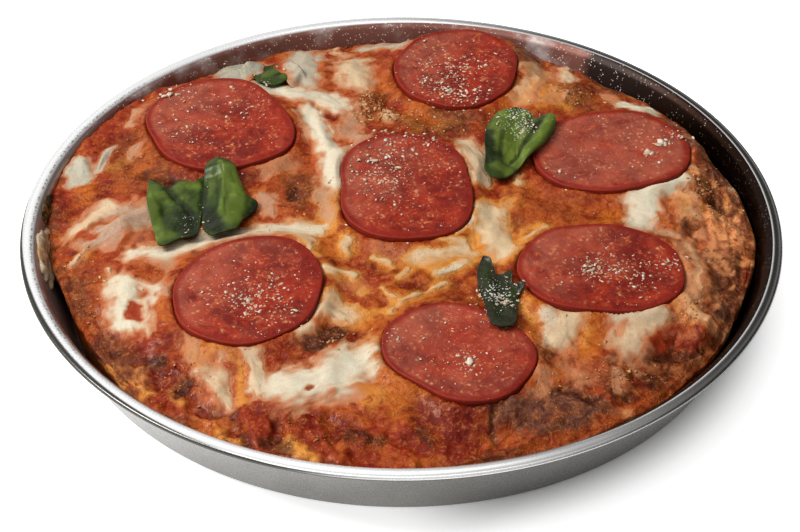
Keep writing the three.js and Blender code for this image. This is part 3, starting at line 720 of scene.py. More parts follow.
        (107, 6, 105, 4, 2.6, 10, -14), (-40, -107, -34, -110, 3, 8, -6), (-16, -108, -6, -111, 2.2, 9, 6),
        (-68, -88, -64, -85, 2.4, 9, -6), (8, -110, 6, -108, 2, 8), (22, -98, 30, -97, 2.5, 9, -6),
        (50, -92, 58, -93, 1.3, 9, -6), (80, 80, 79, 83, 2.4, 6), (-56, -98, -50, -99, 1.6, 7, -5),
        (66, -74, 64, -80, 1.8, 9, -6), (62, -88, 68, -90, 1.6, 9, -8), (-84, 16, -79, 13, 2.6, 9, -5),
        (-88, 20, -86, 17, 2, 8, -4), (-47, -105, -45, -108, 1.6, 8, -6), (97, -9, 2.2, 9, -4),
        (76, -82, 2, 9, -3), (27, -94, 28, -108, 1.4, 9, -12), (106, -28, 108, -38, 2.2, 7, -4),
        (112, 6, 113, -8, 1.4, 7, -7), (112, -20, 110, -30, 1.4, 7, -6), (114, 38, 112, 48, 3, 8),
        (108, 8, 109, 4, 2.2, 10, -16), (104, 18, 102, 12, 1.4, 8, -6), (103, -22, 105, -25, 1.8, 9),
        (76, -82, 81, -79, 3, 7, -3), (99, -62, 97, -54, 1.6, 7, -6), (113, -2, 112, -12, 1, 8, -8),
    ]),
]

MELTED = [
    *dabs(Tint.PINK, [
        (-104, 3, -109, -8, 3.2, 8, 4), (-86, -22, -80, -24, 4.5, 8, 3),
        (-76, -30, -78, -40, -74, -46, 3.5, 8, 3), (-92, 38, -94, 32, 2.2, 8, 3),
        (-96, 66, -97, 54, 2.4, 8, 3), (-18, 58, -18, 42, 5, 8, 4), (-14, 38, -20, 30, 5, 6),
        (-26, 8, -25, -6, 4, 8, 3), (-46, 5, -45, -3, 3.5, 8, 4), (-40, 24, -46, 20, 5, 5),
        (-66, -66, -64, -76, 2.6, 5, 3), (44, -84, 42, -92, 3.6, 4.5, 3), (54, -86, 50, -80, 3, 4),
        (70, -66, 72, -74, 5.5, 8, 4), (94, -20, 96, -34, 3, 5, 4), (92, -38, 92, -48, 4, 5, 4),
        (66, -82, 66, -87, 2, 6, 4), (60, 90, 60, 84, 3, 6), (76, 74, 78, 68, 3, 5),
        (-22, -74, -18, -76, 4, 6), (-88, -62, -84, -63, 3, 6), (38, 4, 34, -2, 4, 5),
        (34, 26, 30, 34, 4, 4), (-2, 112, 0, 104, 4, 6, 3), (-12, -46, 2.5, 5),
    ], 0.35),
    *dabs(Tint.CREAM, [
        (-80, -25, -70, -20, -60, -14, 4.2, 9, 5), (-101, 1, -97, -2, 4.5, 9.5, 9),
        (-105, -21, -107, -25, 2.2, 9, 9), (-33, -16, -29, -26, 3, 8.5, 4), (24, 32, 27, 20, 4.5, 9, 4),
        (20, -21, 14, -21, 1.8, 9, 6), (5, -28, 12, -26, 22, -24, 1.7, 9.5, 7),
        (12, -36, 20, -31, 2.6, 9, 6), (0, -38, 2, -34, 1.4, 7, 4),
        (14, -41, 8, -46, 0, -50, -3, -57, 1.6, 9, 7), (-6, -44, -2, -49, 1.2, 8, 5),
        (40, 17, 40, 13, 2, 9, 5), (-17, -19, -18, -26, 2.5, 10, 10), (-24, -35, -16, -38, 2.4, 9.5, 8),
        (-9, -29, -4, -32, 2, 9, 7), (-22, -48, -24, -56, -19, -58, 3.4, 9, 8),
        (-33, -52, -31, -60, -29, -68, 4, 9.5, 7), (-50, -73, -45, -80, -43, -91, 2.4, 9, 6),
        (-62, -82, -57, -88, -52, -95, 2.6, 8, 5), (-55, -76, -53, -86, 2, 6, 4),
        (46, 78, 44, 70, 2.4, 9, 5), (51, 90, 50, 82, 3.2, 9, 6), (62, 95, 63, 84, 3, 9, 6),
        (92, -14, 88, -13, 2.6, 6), (94, 20, 86, 10, 5, 8, 4), (48, -12, 42, -18, 2.2, 8, 5),
        (-17, 90, -17, 82, 7, 7.5, 6), (-26, 110, -25, 104, 3, 9, 5), (-21, 100, 2.4, 7, 4),
        (72, -54, 84, -57, 4, 8, 3), (-6, 56, -4, 54, 3, 9, 14), (-13, 61, 1.8, 9, 12),
        (113, 17, 2.6, 8, 12), (61, 69, 62, 73, 1.6, 8, 9), (44, 88, 48, 92, 2, 6, 3),
        (-96, -33, 1.5, 10, 8), (57, -15, 59, -13, 1, 6), (-94.5, -3, -88, -12, 2, 7, 3),
        (92, 22, 103, 25, 3, 7.5, 7), (92, -53, 94, -56, 2.4, 7, 7), (95, -18, 96, -30, 96, -42, 2, 6, 5),
    ], 0.3),
    *dabs(Tint.GOLD, [
        (92, 18, 96, 6, 95, -5, 3.4, 7, 4), (91, -52, 95, -58, 3.8, 6, 10), (-66, -72, -60, -80, 2.4, 5, 2),
        (46, 84, 50, 94, 2.6, 6, 3), (52, 66, 58, 72, 4, 6, 4),
    ], 0.3),
    *dabs(Tint.CREAM, [
        (97, 16, 101, 5, 1.8, 6, 5), (97, -1, 101, -5, 1.6, 6, 4), (93, -53, 95, -55, 1.6, 6, 4),
    ], 0.3),
    *dabs(Tint.BISCUIT, [
        (95, 18, 98, 2, 96, -6, 3.8, 4, 5), (90, -51, 95, -57, 4.4, 6, 12), (100, -12, 106, -22, 2.6, 4, 4),
        (112, -4, 113, -14, 1.4, 4, 4), (94, -19, 96, -34, 94, -45, 3.4, 6, 0), (94, 12, 98, 4, 3.4, 4, 2),
    ], 0.5),
    *dabs(Tint.PALE, [(-114.5, 34, -111.5, 21, 4.4, 9.5, 2), (-44, 92, -40, 84, 4, 7, 2)]),
    *dabs(Tint.ASH, [(-58, 92, -62, 86, 9, 8, 3)]),
    *dabs(Tint.MOZZARELLA, [
        (-100, 2, -98, -3, 2.6, 9, 4), (-80, -40, -79, -49, 3.2, 8.5, 4), (47, -57, 46, -69, 4.2, 9.5, 6),
        (68, -56, 76, -60, 6, 8, 4), (84, 66, 90, 66, 4, 9.5, 7), (19, -33, 14, -35, 1.6, 8, 2),
        (-21, -56, -19, -58, 1.8, 8, 2), (18, -16, 24, -10, 2.6, 8, 4),
    ], 0.2),
]

HOLES = [
    Dab(Tint.TOMATO, [(-84.6, -50.5), (-84.2, -57)], 2.5, 0.92, -0.7, 0.5),
    Dab(Tint.SAUCE, [(-26, 56), (-24, 53)], 2.4, 1.0, -0.8),
    Dab(Tint.BROWN, [(-27.7, -90.8)], 1.5, 0.85, -0.5),
    Dab(Tint.TOMATO, [(-107, -13), (-103, -14)], 2.2, 0.9, -0.3),
    Dab(Tint.ORANGE, [(-108, -14), (-100, -8.5), (-95, -4.5)], 1.0, 0.8, -0.5, 0.25),
    Dab(Tint.TOMATO, [(80, -68), (86, -63), (93, -61)], 4.6, 0.95, 0.2, 0.2),
    Dab(Tint.BLUSH, [(83, -65), (92, -61)], 2.2, 0.45, 0.5),
    Dab(Tint.UMBER, [(76, -76), (86, -73), (93, -67)], 1.8, 0.9, -1.4, 0.2),
    Dab(Tint.CHAR, [(106.5, 7), (105.5, 4)], 1.6, 0.9, -1.6, 0.2),
    Dab(Tint.UMBER, [(96, -7), (99, -10)], 1.8, 0.8, -0.8),
    Dab(Tint.BROWN, [(104, 19), (106, 12), (104, 8)], 2.2, 0.7, -0.6),
    Dab(Tint.UMBER, [(-28, -70), (-21, -65)], 3.0, 0.9, -0.4),
    Dab(Tint.AMBER, [(62, -58), (61, -70)], 2.6, 0.8, -0.2),
    Dab(Tint.ORANGE, [(-86, -31), (-78, -36)], 5.0, 0.85, 0.0),
    Dab(Tint.BROWN, [(-67.5, -26), (-66, -28)], 1.0, 0.8, -0.3),
    Dab(Tint.TOMATO, [(70, -60), (68, -66)], 1.2, 0.5, -0.2),
    Dab(Tint.AMBER, [(86, -2), (88, -8)], 1.5, 0.8, -0.2),
]


@dataclass
class Skin:
    """The finish of the food at each point of a mesh."""

    under: Array
    over: Array
    stain: Array
    cover: Array
    wet: Array
    relief: Array

    def store(self, mesh: Mesh) -> None:
        """Paint it onto the mesh, for the materials to read."""
        paint_colour(mesh, "under", self.under)
        paint_colour(mesh, "over", self.over)
        paint_colour(mesh, "stain", self.stain)
        paint_value(mesh, "cover", self.cover)
        paint_value(mesh, "wet", self.wet)


def tint_mix(colour: Array, tint: Tint, share: Array) -> Array:
    """Blend a colour for each point towards a tint."""
    return mix(colour, np.array(tint.value), share[:, None])


class FoodPaint:
    """Works out the colour, gloss and fine relief of the baked food at any place."""

    def __init__(self, form: FoodForm, melts: Sequence["MeltForm"]) -> None:
        """Take the food's form and the mozzarella that lies on it."""
        self.form = form
        self.melted = [*MELTED, *(stroke for melt in melts for stroke in melt.strokes())]

    def ground(self, spots: Array) -> Array:
        """Give the mottled orange, red and brown of the plain baked topping."""
        broad = fractal(spots, 17, 3, 11)
        fine = fractal(spots, 4.5, 3, 23)
        colour = tint_mix(Tint.TOMATO.spread(len(spots)), Tint.ORANGE, ease(-0.5, 0.5, broad))
        colour = tint_mix(colour, Tint.AMBER, 0.6 * ease(0.15, 0.8, fine))
        return tint_mix(colour, Tint.SAUCE, 0.7 * ease(0.1, 0.8, 0.3 * broad - fine))

    def crust_skin(self, spots: Array, z: Array) -> Array:
        """Give the colour of bare crust, which is darker down its side."""
        angle = np.arctan2(spots[:, 1], spots[:, 0])
        rough = fractal(spots, 6, 3, 31)
        streak = fractal(plane(np.degrees(angle) * 2.0, z * 1.4), 6, 3, 37)
        colour = tint_mix(Tint.BROWN.spread(len(spots)), Tint.ORANGE, ease(-0.7, 0.6, rough))
        colour = tint_mix(colour, Tint.BISCUIT, bump_at(angle, 0, 20) * ease(-0.5, 0.5, rough))
        dark = np.maximum(bump_at(angle, 340, 18), bump_at(angle, 293, 16) * 0.6)
        colour = tint_mix(colour, Tint.UMBER, dark * ease(-0.6, 0.4, streak))
        side = 1 - ease(9, 19, z)
        char, amber = np.array(Tint.CHAR.value), np.array(Tint.AMBER.value) * 0.7
        deep = mix(char, amber, bump_at(angle, 208, 50)[:, None])
        return mix(colour, deep, 0.75 * side[:, None])

    def at(self, x: Array, y: Array, z: Array) -> Skin:
        """Work out the finish of the food's skin.

        Args:
            x: positions to the right.
            y: positions to the far side.
            z: heights.

        Returns:
            The skin at each position.
        """
        spots = plane(x, y)
        bend = plane(fractal(spots, 6, 3, 3), fractal(spots, 6, 3, 7)) * 0.9
        warped = self.form.seen(x, y, z) + bend
        tear = fractal(spots, 3.2, 3, 5)
        angle = np.arctan2(y, x)
        out = np.hypot(x, y) - self.form.sauce_radius(angle)
        bare = ease(-1.2, 1.6, out + tear * 1.6)
        under = mix(self.ground(warped), self.crust_skin(warped, z), bare[:, None])
        relief = 0.62 * fractal(spots, 6.5, 3, 41) + 0.36 * fractal(spots, 2.6, 2, 43)
        chunky = ease(86, 104, np.hypot(x, y)) * (0.4 + 0.6 * bump_at(angle, 252, 50))
        relief = relief + chunky * (0.6 - 1.1 * np.abs(fractal(spots, 8, 2, 45)))
        crusty = ease(88, 98, np.hypot(x, y)) * bump_at(angle, -8, 52)
        folds = fractal(plane(np.hypot(x, y), np.degrees(angle) * 0.4), 5.5, 2, 55)
        relief = relief + crusty * (0.9 - 2.4 * np.abs(folds) + 0.7 * fractal(spots, 3.2, 2, 57))
        wet = mix(0.65 + 0.3 * fractal(spots, 9, 2, 47), 0.3, bare)
        reach = self.form.nearest_slice(x, y)
        oil = (1 - ease(1.0, 1.16, reach + 0.03 * tear)) * (1 - bare)
        under = tint_mix(under, Tint.TOMATO, 0.45 * oil)
        for stroke in BAKED:
            cover = stroke.cover(warped, tear) * stroke.strength
            under = tint_mix(under, stroke.tint, cover)
            relief = relief * (1 - 0.2 * cover) + cover * stroke.rise
        crumbly = fractal(spots, 3.0, 3, 59)
        under = tint_mix(under, Tint.BROWN, 0.6 * crusty * ease(0.25, 0.6, crumbly))
        under = tint_mix(under, Tint.BISCUIT, 0.5 * crusty * ease(0.1, 0.6, -crumbly))
        from_gold = np.hypot(x - 14, (y + 26) * 0.9) + 12 * fractal(spots, 30, 2, 53)
        pinkness = 0.85 * ease(30, 60, from_gold)
        stain = tint_mix(Tint.HONEY.spread(len(spots)), Tint.BLUSH, pinkness)
        over = Tint.PINK.spread(len(spots))
        cheese = np.zeros(len(spots))
        for stroke in self.melted:
            halo = stroke.halo(warped, tear) * stroke.strength
            under = mix(under, stain, (halo * mix(0.5, 0.2, pinkness))[:, None])
            cover = stroke.cover(warped, tear) * stroke.strength
            over = tint_mix(over, stroke.tint, cover)
            cheese = cheese + (1 - cheese) * cover
            relief = relief * (1 - 0.5 * cover) + cover * stroke.rise
        for hole in HOLES:
            cover = hole.cover(warped, tear) * hole.strength
            under = tint_mix(under, hole.tint, cover)
            cheese = cheese * (1 - cover)
            relief = relief + cover * hole.rise
        bank = ease(0.97, 1.02, reach) * (1 - ease(1.05, 1.3, reach))
        relief = relief * (1 - 0.5 * bank) + bank * (1.95 + 0.6 * fractal(spots, 9, 2, 49))
        return Skin(under, over, stain, cheese, np.clip(wet, 0, 1), relief)


# ---- mozzarella forms


@dataclass(frozen=True)
class MeltForm:
    """One strand or blob of melted mozzarella, along a given path."""

    name: str
    path: Path
    half: float
    thick: float
    tint: Tint = Tint.MOZZARELLA
    cover: float = 0.95
    drapes: bool = False

    def strokes(self) -> list[Dab]:
        """Give the paint that the strand leaves, paler along its middle."""
        curve = [tuple(point) for point in sample_curve(self.path, 7)]
        halos = {Tint.MOZZARELLA: Tint.CREAM, Tint.PALE: Tint.PALE, Tint.ASH: Tint.ASH}
        halo = halos.get(self.tint, Tint.PINK)
        return [
            Dab(halo, curve, self.half * 1.05, self.cover * 0.75, 0.0, 0.22, 0.18),
            Dab(self.tint, curve, self.half * 0.82, self.cover, 0.0, 0.18, 0.15),
        ]

    def place(self, u: Array, v: Array) -> tuple[Array, Array]:
        """Lay points of the unit disc along the path, u along it and v across."""
        curve = sample_curve(self.path)
        steps = np.linalg.norm(np.diff(curve, axis=0), axis=1)
        run = np.concatenate([[0], np.cumsum(steps)])
        length = run[-1]
        along = u * (length / 2 + self.half * 0.75)
        inside = np.clip(along + length / 2, 0, length)
        x, y = np.interp(inside, run, curve[:, 0]), np.interp(inside, run, curve[:, 1])
        slope = np.gradient(curve, axis=0)
        slope /= np.linalg.norm(slope, axis=1)[:, None]
        head_x, head_y = np.interp(inside, run, slope[:, 0]), np.interp(inside, run, slope[:, 1])
        beyond = along + length / 2 - inside
        uneven = 1 + 0.14 * np.sin(5 * u + self.half) + 0.08 * np.sin(9 * u + self.path[0][0])
        width = self.half * uneven
        return x + head_x * beyond - head_y * v * width, y + head_y * beyond + head_x * v * width


WHITE, CREAMY = Tint.MOZZARELLA, Tint.CREAM
MELTS = [MeltForm(*row) for row in (
    ("back_peaks", ((-37, 104), (-38, 92), (-36, 80)), 8, 2.2, Tint.PALE, 0.95, True),
    ("back_arc", ((-50, 76), (-41, 70), (-30, 68), (-23, 62)), 6.5, 2.4),
    ("back_flow", ((-33, 58), (-29, 44), (-25, 30), (-23, 13)), 6.2, 2.6),
    ("back_soft", ((-19, 91), (-16, 78)), 8.0, 1.8, CREAMY, 0.8),
    ("back_blob", ((-63, 96), (-60, 85)), 9.5, 2.8, Tint.ASH, 0.95, True),
    ("rear_lump", ((-13, 107), (-3, 109)), 6.5, 3.0, Tint.PALE, 0.8),
    ("left_blob", ((-112.5, 34), (-109.5, 22)), 3.6, 1.8, Tint.PALE, 0.9),
    ("left_strip", ((-102, 39), (-105.5, 26)), 2.2, 1.2, Tint.PALE, 0.8),
    ("left_bright", ((-108, -9.5), (-98.5, 0.5)), 5.8, 3.2, CREAMY, 0.95),
    ("left_pink", ((-100.5, -15), (-87, -2)), 8.2, 3.0, Tint.ROSE, 0.95),
    ("left_front", ((-89, -40), (-85, -59)), 8.0, 2.4),
    ("band", ((-88, -25), (-74, -24), (-58, -18), (-42, -13), (-27, -13)), 5.0, 1.8, WHITE, 0.85),
    ("crook", ((-31, -64), (-25, -54), (-17, -57)), 5.0, 1.8, CREAMY, 0.8),
    ("front_left", ((-57, -83), (-53, -93)), 4.6, 1.4, CREAMY, 0.7),
    ("front_streak", ((-46, -76), (-43, -89)), 3.0, 1.2, CREAMY, 0.8),
    ("front", ((-34, -89), (-24, -88), (-14, -80)), 11.5, 2.8),
    ("middle", ((30, -4), (30, -15), (33, -25)), 7.0, 2.0, CREAMY, 0.95),
    ("strands", ((3, -30), (14, -28), (22, -26)), 4.0, 1.5, CREAMY, 0.6),
    ("middle_back", ((22, 38), (26.5, 27), (26.5, 14)), 4.5, 1.6, CREAMY, 0.9),
    ("right_back", ((44, 66), (48, 76), (54, 88)), 5.0, 1.8, Tint.GOLD, 0.6),
    ("right_edge", ((82, 65), (91, 64.5)), 4.4, 2.0, WHITE),
    ("right", ((93, 16), (83, 6), (81, -8)), 7.5, 2.2),
    ("right_front", ((52, -58), (49, -68)), 6.6, 2.0, CREAMY, 0.95),
    ("right_pink", ((77, -59), (70, -70)), 9.0, 1.8, CREAMY, 0.72),
)]


# ---- shader tools


class Wire:
    """A shader socket that can be used in sums."""

    def __init__(self, shade: "Shade", socket: Optional[bpy.types.NodeSocket]) -> None:
        """Wrap a socket of a material's node tree."""
        self.shade = shade
        self.socket = socket

    def _sum(self, operation: str, first: object, second: object) -> "Wire":
        """Add one Math node."""
        return self.shade.node("Math", {"operation": operation}, {0: first, 1: second})

    def __add__(self, other: object) -> "Wire":
        """Add."""
        return self._sum("ADD", self, other)

    __radd__ = __add__

    def __sub__(self, other: object) -> "Wire":
        """Subtract."""
        return self._sum("SUBTRACT", self, other)

    def __rsub__(self, other: object) -> "Wire":
        """Subtract from a number."""
        return self._sum("SUBTRACT", other, self)

    def __mul__(self, other: object) -> "Wire":
        """Multiply."""
        return self._sum("MULTIPLY", self, other)

    __rmul__ = __mul__

    def rise(self, low: float, high: float) -> "Wire":
        """Rise smoothly from 0 at low to 1 at high."""
        settings = {"interpolation_type": "SMOOTHSTEP"}
        return self.shade.node("MapRange", settings, {0: self, 1: low, 2: high})


class Shade:
    """The nodes of a material or a world being put together."""

    def __init__(self, owner: bpy.types.ID, coordinates: str = "Object") -> None:
        """Empty the owner's node tree and start with its coordinates."""
        self.owner = owner
        owner.use_nodes = True
        self.tree = owner.node_tree
        self.tree.nodes.clear()
        self.coords = self.node("TexCoord", {}, {}, coordinates)

    def node(self, kind: str, settings: dict, inputs: dict, output: object = 0) -> Wire:
        """Add a node.

        Args:
            kind: the node's type, without ShaderNode.
            settings: its own settings.
            inputs: values or wires by socket name, identifier or number.
            output: the name or number of the socket to return.

        Returns:
            The wire of that output, which holds no socket where the node has none.
        """
        node = self.tree.nodes.new("ShaderNode" + kind)
        for key, value in settings.items():
            setattr(node, key, value)
        for key, value in inputs.items():
            socket = node.inputs[key] if isinstance(key, int) else self.find(node.inputs, key)
            if isinstance(value, Wire):
                self.tree.links.new(value.socket, socket)
            else:
                socket.default_value = value
        if not node.outputs:
            return Wire(self, None)
        outlet = node.outputs[output] if isinstance(output, int) else self.find(node.outputs, output)
        return Wire(self, outlet)

    @staticmethod
    def find(sockets: Iterable[bpy.types.NodeSocket], key: str) -> bpy.types.NodeSocket:
        """Find a socket by its identifier or name."""
        for socket in sockets:
            if socket.identifier == key:
                return socket
        return sockets[key]

    def noise(self, cell: float, detail: float = 3.0, rough: float = 0.55, bend: float = 0.0) -> Wire:
        """Add noise from 0 to 1 whose cells are this many millimetres wide."""
        inputs = {"Vector": self.coords, "Scale": 1 / (cell * MM), "Detail": detail,
                  "Roughness": rough, "Distortion": bend}
        return self.node("TexNoise", {}, inputs, "Fac")

    def cells(self, cell: float) -> Wire:
        """Add a pattern of separate cells, each this many millimetres wide."""
        inputs = {"Vector": self.coords, "Scale": 1 / (cell * MM)}
        return self.node("TexVoronoi", {}, inputs, "Distance")

    def value(self, name: str) -> Wire:
        """Read a number that was painted on the mesh."""
        return self.node("Attribute", {"attribute_name": name}, {}, "Fac")

    def colour(self, name: str) -> Wire:
        """Read a colour that was painted on the mesh."""
        return self.node("Attribute", {"attribute_name": name}, {}, "Color")

    def blend(self, share: object, low: object, high: object, kind: str = "MIX") -> Wire:
        """Blend two colours."""
        ends = [c if isinstance(c, Wire) else (*c, 1) for c in (low, high)]
        inputs = {"Factor_Float": share, "A_Color": ends[0], "B_Color": ends[1]}
        settings = {"data_type": "RGBA", "blend_type": kind, "clamp_result": False}
        return self.node("Mix", settings, inputs, "Result_Color")

    def bump(self, height: Wire, depth: float) -> Wire:
        """Turn a height of 0 to 1 into relief of this many millimetres."""
        return self.node("Bump", {}, {"Height": height, "Distance": depth * MM}, "Normal")

    def finish(self, **sockets: object) -> Material:
        """Feed the Principled shader and return the material."""
        inputs = {key.replace("_", " "): value for key, value in sockets.items()}
        shader = self.node("BsdfPrincipled", {}, inputs, "BSDF")
        self.node("OutputMaterial", {}, {"Surface": shader})
        return self.owner


def shade_material(name: str) -> Shade:
    """Start a new material."""
    return Shade(bpy.data.materials.new(name))


# ---- finishes


@dataclass(frozen=True)
class BakedFinish:
    """The skin of the baked food: sauce and crust with cheese melted over them."""

    name: str
    grain: float = 1.0
    depth: float = 0.6
    scatter: float = 0.05
    speck: float = 0.5

    def make(self) -> Material:
        """Build the material."""
        shade = shade_material(self.name)
        fine = shade.noise(0.9, 4.0, 0.6)
        grit = shade.noise(2.6, 5.0, 0.6, 0.8)
        broad = shade.noise(7.5, 3.0, 0.55, 0.8)
        fibre = shade.noise(4.6, 4.0, 0.6, 2.4)
        wet = shade.value("wet")
        shadowed = shade.blend((1 - grit).rise(0.46, 0.66) * 0.55 * self.grain, shade.colour("under"),
                               (0.36, 0.08, 0.04), "MULTIPLY")
        lit = shade.blend((fine * grit).rise(0.27, 0.36) * 0.34 * self.grain, shadowed, (0.50, 0.185, 0.045))
        glow = shade.blend(broad.rise(0.5, 0.68) * 0.25, lit, (0.36, 0.085, 0.008))
        seeds = (0.3 - shade.cells(1.0)).rise(0, 0.12) * (broad + grit * 0.5).rise(0.7, 0.9)
        golden = shade.blend(seeds * self.speck, glow, (0.52, 0.25, 0.07))
        torn = shade.value("cover") + (fibre - 0.5) * 0.3 + (fine - 0.5) * 0.05
        stained = shade.blend(torn.rise(0.02, 0.4) * 0.8, golden, shade.colour("stain"))
        milky = shade.blend(fibre.rise(0.36, 0.62) * 0.25, shade.colour("over"), shade.colour("stain"))
        curd = shade.blend((torn * 0.6 + fine * 0.4).rise(0.6, 0.95) * 0.28, milky, (0.66, 0.63, 0.52))
        colour = shade.blend(torn.rise(0.1, 1.05), stained, curd)
        rough = 0.46 - wet * 0.16 + (grit - 0.5) * 0.25
        cheesy = torn.rise(0.3, 0.8)
        pits = grit * 0.8 * (1 - cheesy * 0.8) + fine * 0.45 * (1 - cheesy * 0.6) + torn * 0.3 + seeds * 0.35
        return shade.finish(
            Base_Color=colour, Roughness=rough, Normal=shade.bump(pits, self.depth),
            Subsurface_Weight=self.scatter, Subsurface_Radius=(1.0, 0.35, 0.2),
            Subsurface_Scale=0.0012, Specular_IOR_Level=0.11,
            Coat_Weight=wet * grit.rise(0.40, 0.56) * 0.14, Coat_Roughness=0.06,
        )


@dataclass(frozen=True)
class PepperoniFinish:
    """Cured sausage: dark red meat with orange fat, darker and smoother at its rim, with painted sheen on it.
    """

    name: str = "cured_pepperoni"

    def make(self) -> Material:
        """Build the material."""
        shade = shade_material(self.name)
        rim = shade.value("rim")
        edge = shade.value("edge")
        broad = shade.noise(14.0, 3.0, 0.55, 0.6)
        mottle = shade.noise(3.6, 6.0, 0.7, 1.0)
        grain = shade.noise(1.1, 4.0, 0.65, 0.6)
        red = shade.blend(broad.rise(0.4, 0.6), (0.160, 0.012, 0.007), (0.275, 0.024, 0.009))
        sheen = shade.noise(9.0, 3.0, 0.6, 0.5)
        meat = shade.blend(mottle.rise(0.5, 0.7) * 0.7, red, (0.38, 0.070, 0.020))
        dark = shade.blend((1 - mottle).rise(0.54, 0.68) * 0.7, meat, (0.095, 0.006, 0.004))
        # Painted sheen: paler pink patches laid by the sheen noise.
        pale = shade.blend(sheen.rise(0.5, 0.68) * 0.35, dark, (0.36, 0.085, 0.045))
        fat = (mottle * 0.45 + grain * 0.55).rise(0.545, 0.62) * (1 - rim * 0.8)
        flecks = (grain * 0.6 - shade.cells(2.4)).rise(0, 0.14) * sheen.rise(0.44, 0.6) * (1 - rim)
        flecked = shade.blend(fat * 0.7, pale, (0.52, 0.180, 0.080))
        # Painted sheen: the paler pink painted where the slice is to look lit.
        painted_sheen = shade.value("painted_sheen") * sheen.rise(0.2, 0.55)
        with_painted_sheen = shade.blend(painted_sheen * 0.42, flecked, (0.42, 0.145, 0.09))
        dotted = shade.blend(flecks * 0.6, with_painted_sheen, (0.60, 0.28, 0.13))
        skin = shade.blend(rim * 0.65, dotted, (0.195, 0.010, 0.004))
        cut = shade.blend(edge * 0.6, skin, (0.260, 0.030, 0.015))
        dust = shade.value("dust")
        clump = dust * 0.55 + (grain - 0.5) * 0.5 - shade.cells(1.6)
        specks = clump.rise(0, 0.12) * shade.noise(3.6, 2.0).rise(0.44, 0.54)
        dusted = shade.blend(specks * 0.75, cut, (0.60, 0.42, 0.30))
        rough = 0.36 + (mottle - 0.5) * 0.4 + specks * 0.3 + edge * 0.15
        relief = mottle * 0.7 + grain * 0.35 * (1 - rim) + specks * 0.4 + flecks * 0.3
        return shade.finish(
            Base_Color=dusted, Roughness=rough, Normal=shade.bump(relief, 0.45),
            Subsurface_Weight=0.06, Subsurface_Radius=(1.0, 0.2, 0.1), Subsurface_Scale=0.0012,
            Specular_IOR_Level=0.17,
        )


@dataclass(frozen=True)
class BasilFinish:
    """A wilted basil leaf: painted greens, with painted highlights and shade among them, fine grain and a
    waxy skin.
    """

    name: str = "baked_basil"

    def make(self) -> Material:
        """Build the material."""
        shade = shade_material(self.name)
        grain = shade.noise(1.1, 4.0, 0.6)
        green = shade.blend(grain.rise(0.35, 0.7) * 0.12, shade.colour("paint"), (0.12, 0.16, 0.04))
        blister = shade.noise(2.8, 3.0, 0.5) * 0.7 + grain * 0.3
        specks = (shade.value("dust") * 0.42 - shade.cells(0.95)).rise(0, 0.1)
        dusted = shade.blend(specks * 0.85, green, (0.52, 0.52, 0.46))
        return shade.finish(
            Base_Color=dusted, Roughness=0.34 + (grain - 0.5) * 0.2 + specks * 0.3,
            Normal=shade.bump(blister + specks * 0.5, 0.18), Specular_IOR_Level=0.16,
            Coat_Weight=0.08, Coat_Roughness=0.08,
            Subsurface_Weight=0.05, Subsurface_Radius=(0.4, 1.0, 0.2), Subsurface_Scale=0.0008,
        )


@dataclass(frozen=True)
class SteelFinish:
    """Brushed steel with baked-on film inside, painted shade on the outer wall and the lip, and a painted
    glare and glint on the lip.
    """

    name: str = "pan_steel"

    def make(self) -> Material:
        """Build the material."""
        shade = shade_material(self.name)
        film = shade.value("film")
        burnt = shade.value("burnt")
        # Painted shade: the steel is darkened where shade and dark reflections fall on the outer wall and the
        # lip.
        dull = shade.value("dull")
        cloud = shade.noise(14.0, 4.0, 0.6)
        brush = shade.noise(0.9, 3.0, 0.6)
        bright = shade.blend(cloud.rise(0.3, 0.7), (0.66, 0.65, 0.63), (0.76, 0.75, 0.73))
        steel = shade.blend(dull, bright, (0.07, 0.066, 0.058))
        # Painted glare: the lip is made pale and less metallic where it is to look brightly lit.
        painted_glare = shade.value("painted_glare")
        pitted = shade.value("pits") * shade.noise(1.0, 3.0, 0.6).rise(0.47, 0.56)
        with_painted_glare = shade.blend(painted_glare * 0.9, steel, (0.70, 0.70, 0.70))
        lit = shade.blend(pitted * 0.8, with_painted_glare, (0.10, 0.09, 0.08))
        filmed = shade.blend(film * cloud.rise(0.1, 0.55), lit, (0.20, 0.080, 0.060))
        charred = shade.blend((burnt + (cloud - 0.5) * 0.5).rise(0.3, 0.6), filmed, (0.020, 0.007, 0.003))
        specks = (0.26 - shade.cells(1.15)).rise(0, 0.09) * shade.noise(4.0, 3.0).rise(0.42, 0.56) * film
        colour = shade.blend(specks * 0.8, charred, (0.7, 0.66, 0.6))
        metal = (1 - (film * 0.55).rise(0, 1) - specks * 0.3) * (1 - painted_glare * 0.65)
        rough = 0.27 + film * 0.25 + (brush - 0.5) * 0.1 + specks * 0.3
        return shade.finish(
            Base_Color=colour, Metallic=metal, Roughness=rough,
            Normal=shade.bump(brush * 0.3 * (1 - painted_glare * 0.8) + specks, 0.04),
        )


@dataclass(frozen=True)
class CrumbFinish:
    """Small dry bits: grated hard cheese or browned granules."""

    name: str
    pale: Colour
    deep: Colour

    def make(self) -> Material:
        """Build the material."""
        shade = shade_material(self.name)
        tone = shade.noise(2.4, 3.0)
        colour = shade.blend(tone.rise(0.35, 0.65), self.deep, self.pale)
        grain = shade.noise(0.5, 3.0)
        return shade.finish(
            Base_Color=colour, Roughness=0.55 + (grain - 0.5) * 0.3, Normal=shade.bump(grain, 0.12),
            Subsurface_Weight=0.1, Subsurface_Radius=(1.0, 0.7, 0.4), Subsurface_Scale=0.0008,
        )


# ---- the pan


def arc(radius: float, height: float, size: float, start: float, end: float, count: int) -> list:
    """Give points round part of a circle in the cross-section, from start to end degrees."""
    turns = np.radians(np.linspace(start, end, count))
    return [(radius + size * math.cos(turn), height + size * math.sin(turn)) for turn in turns]


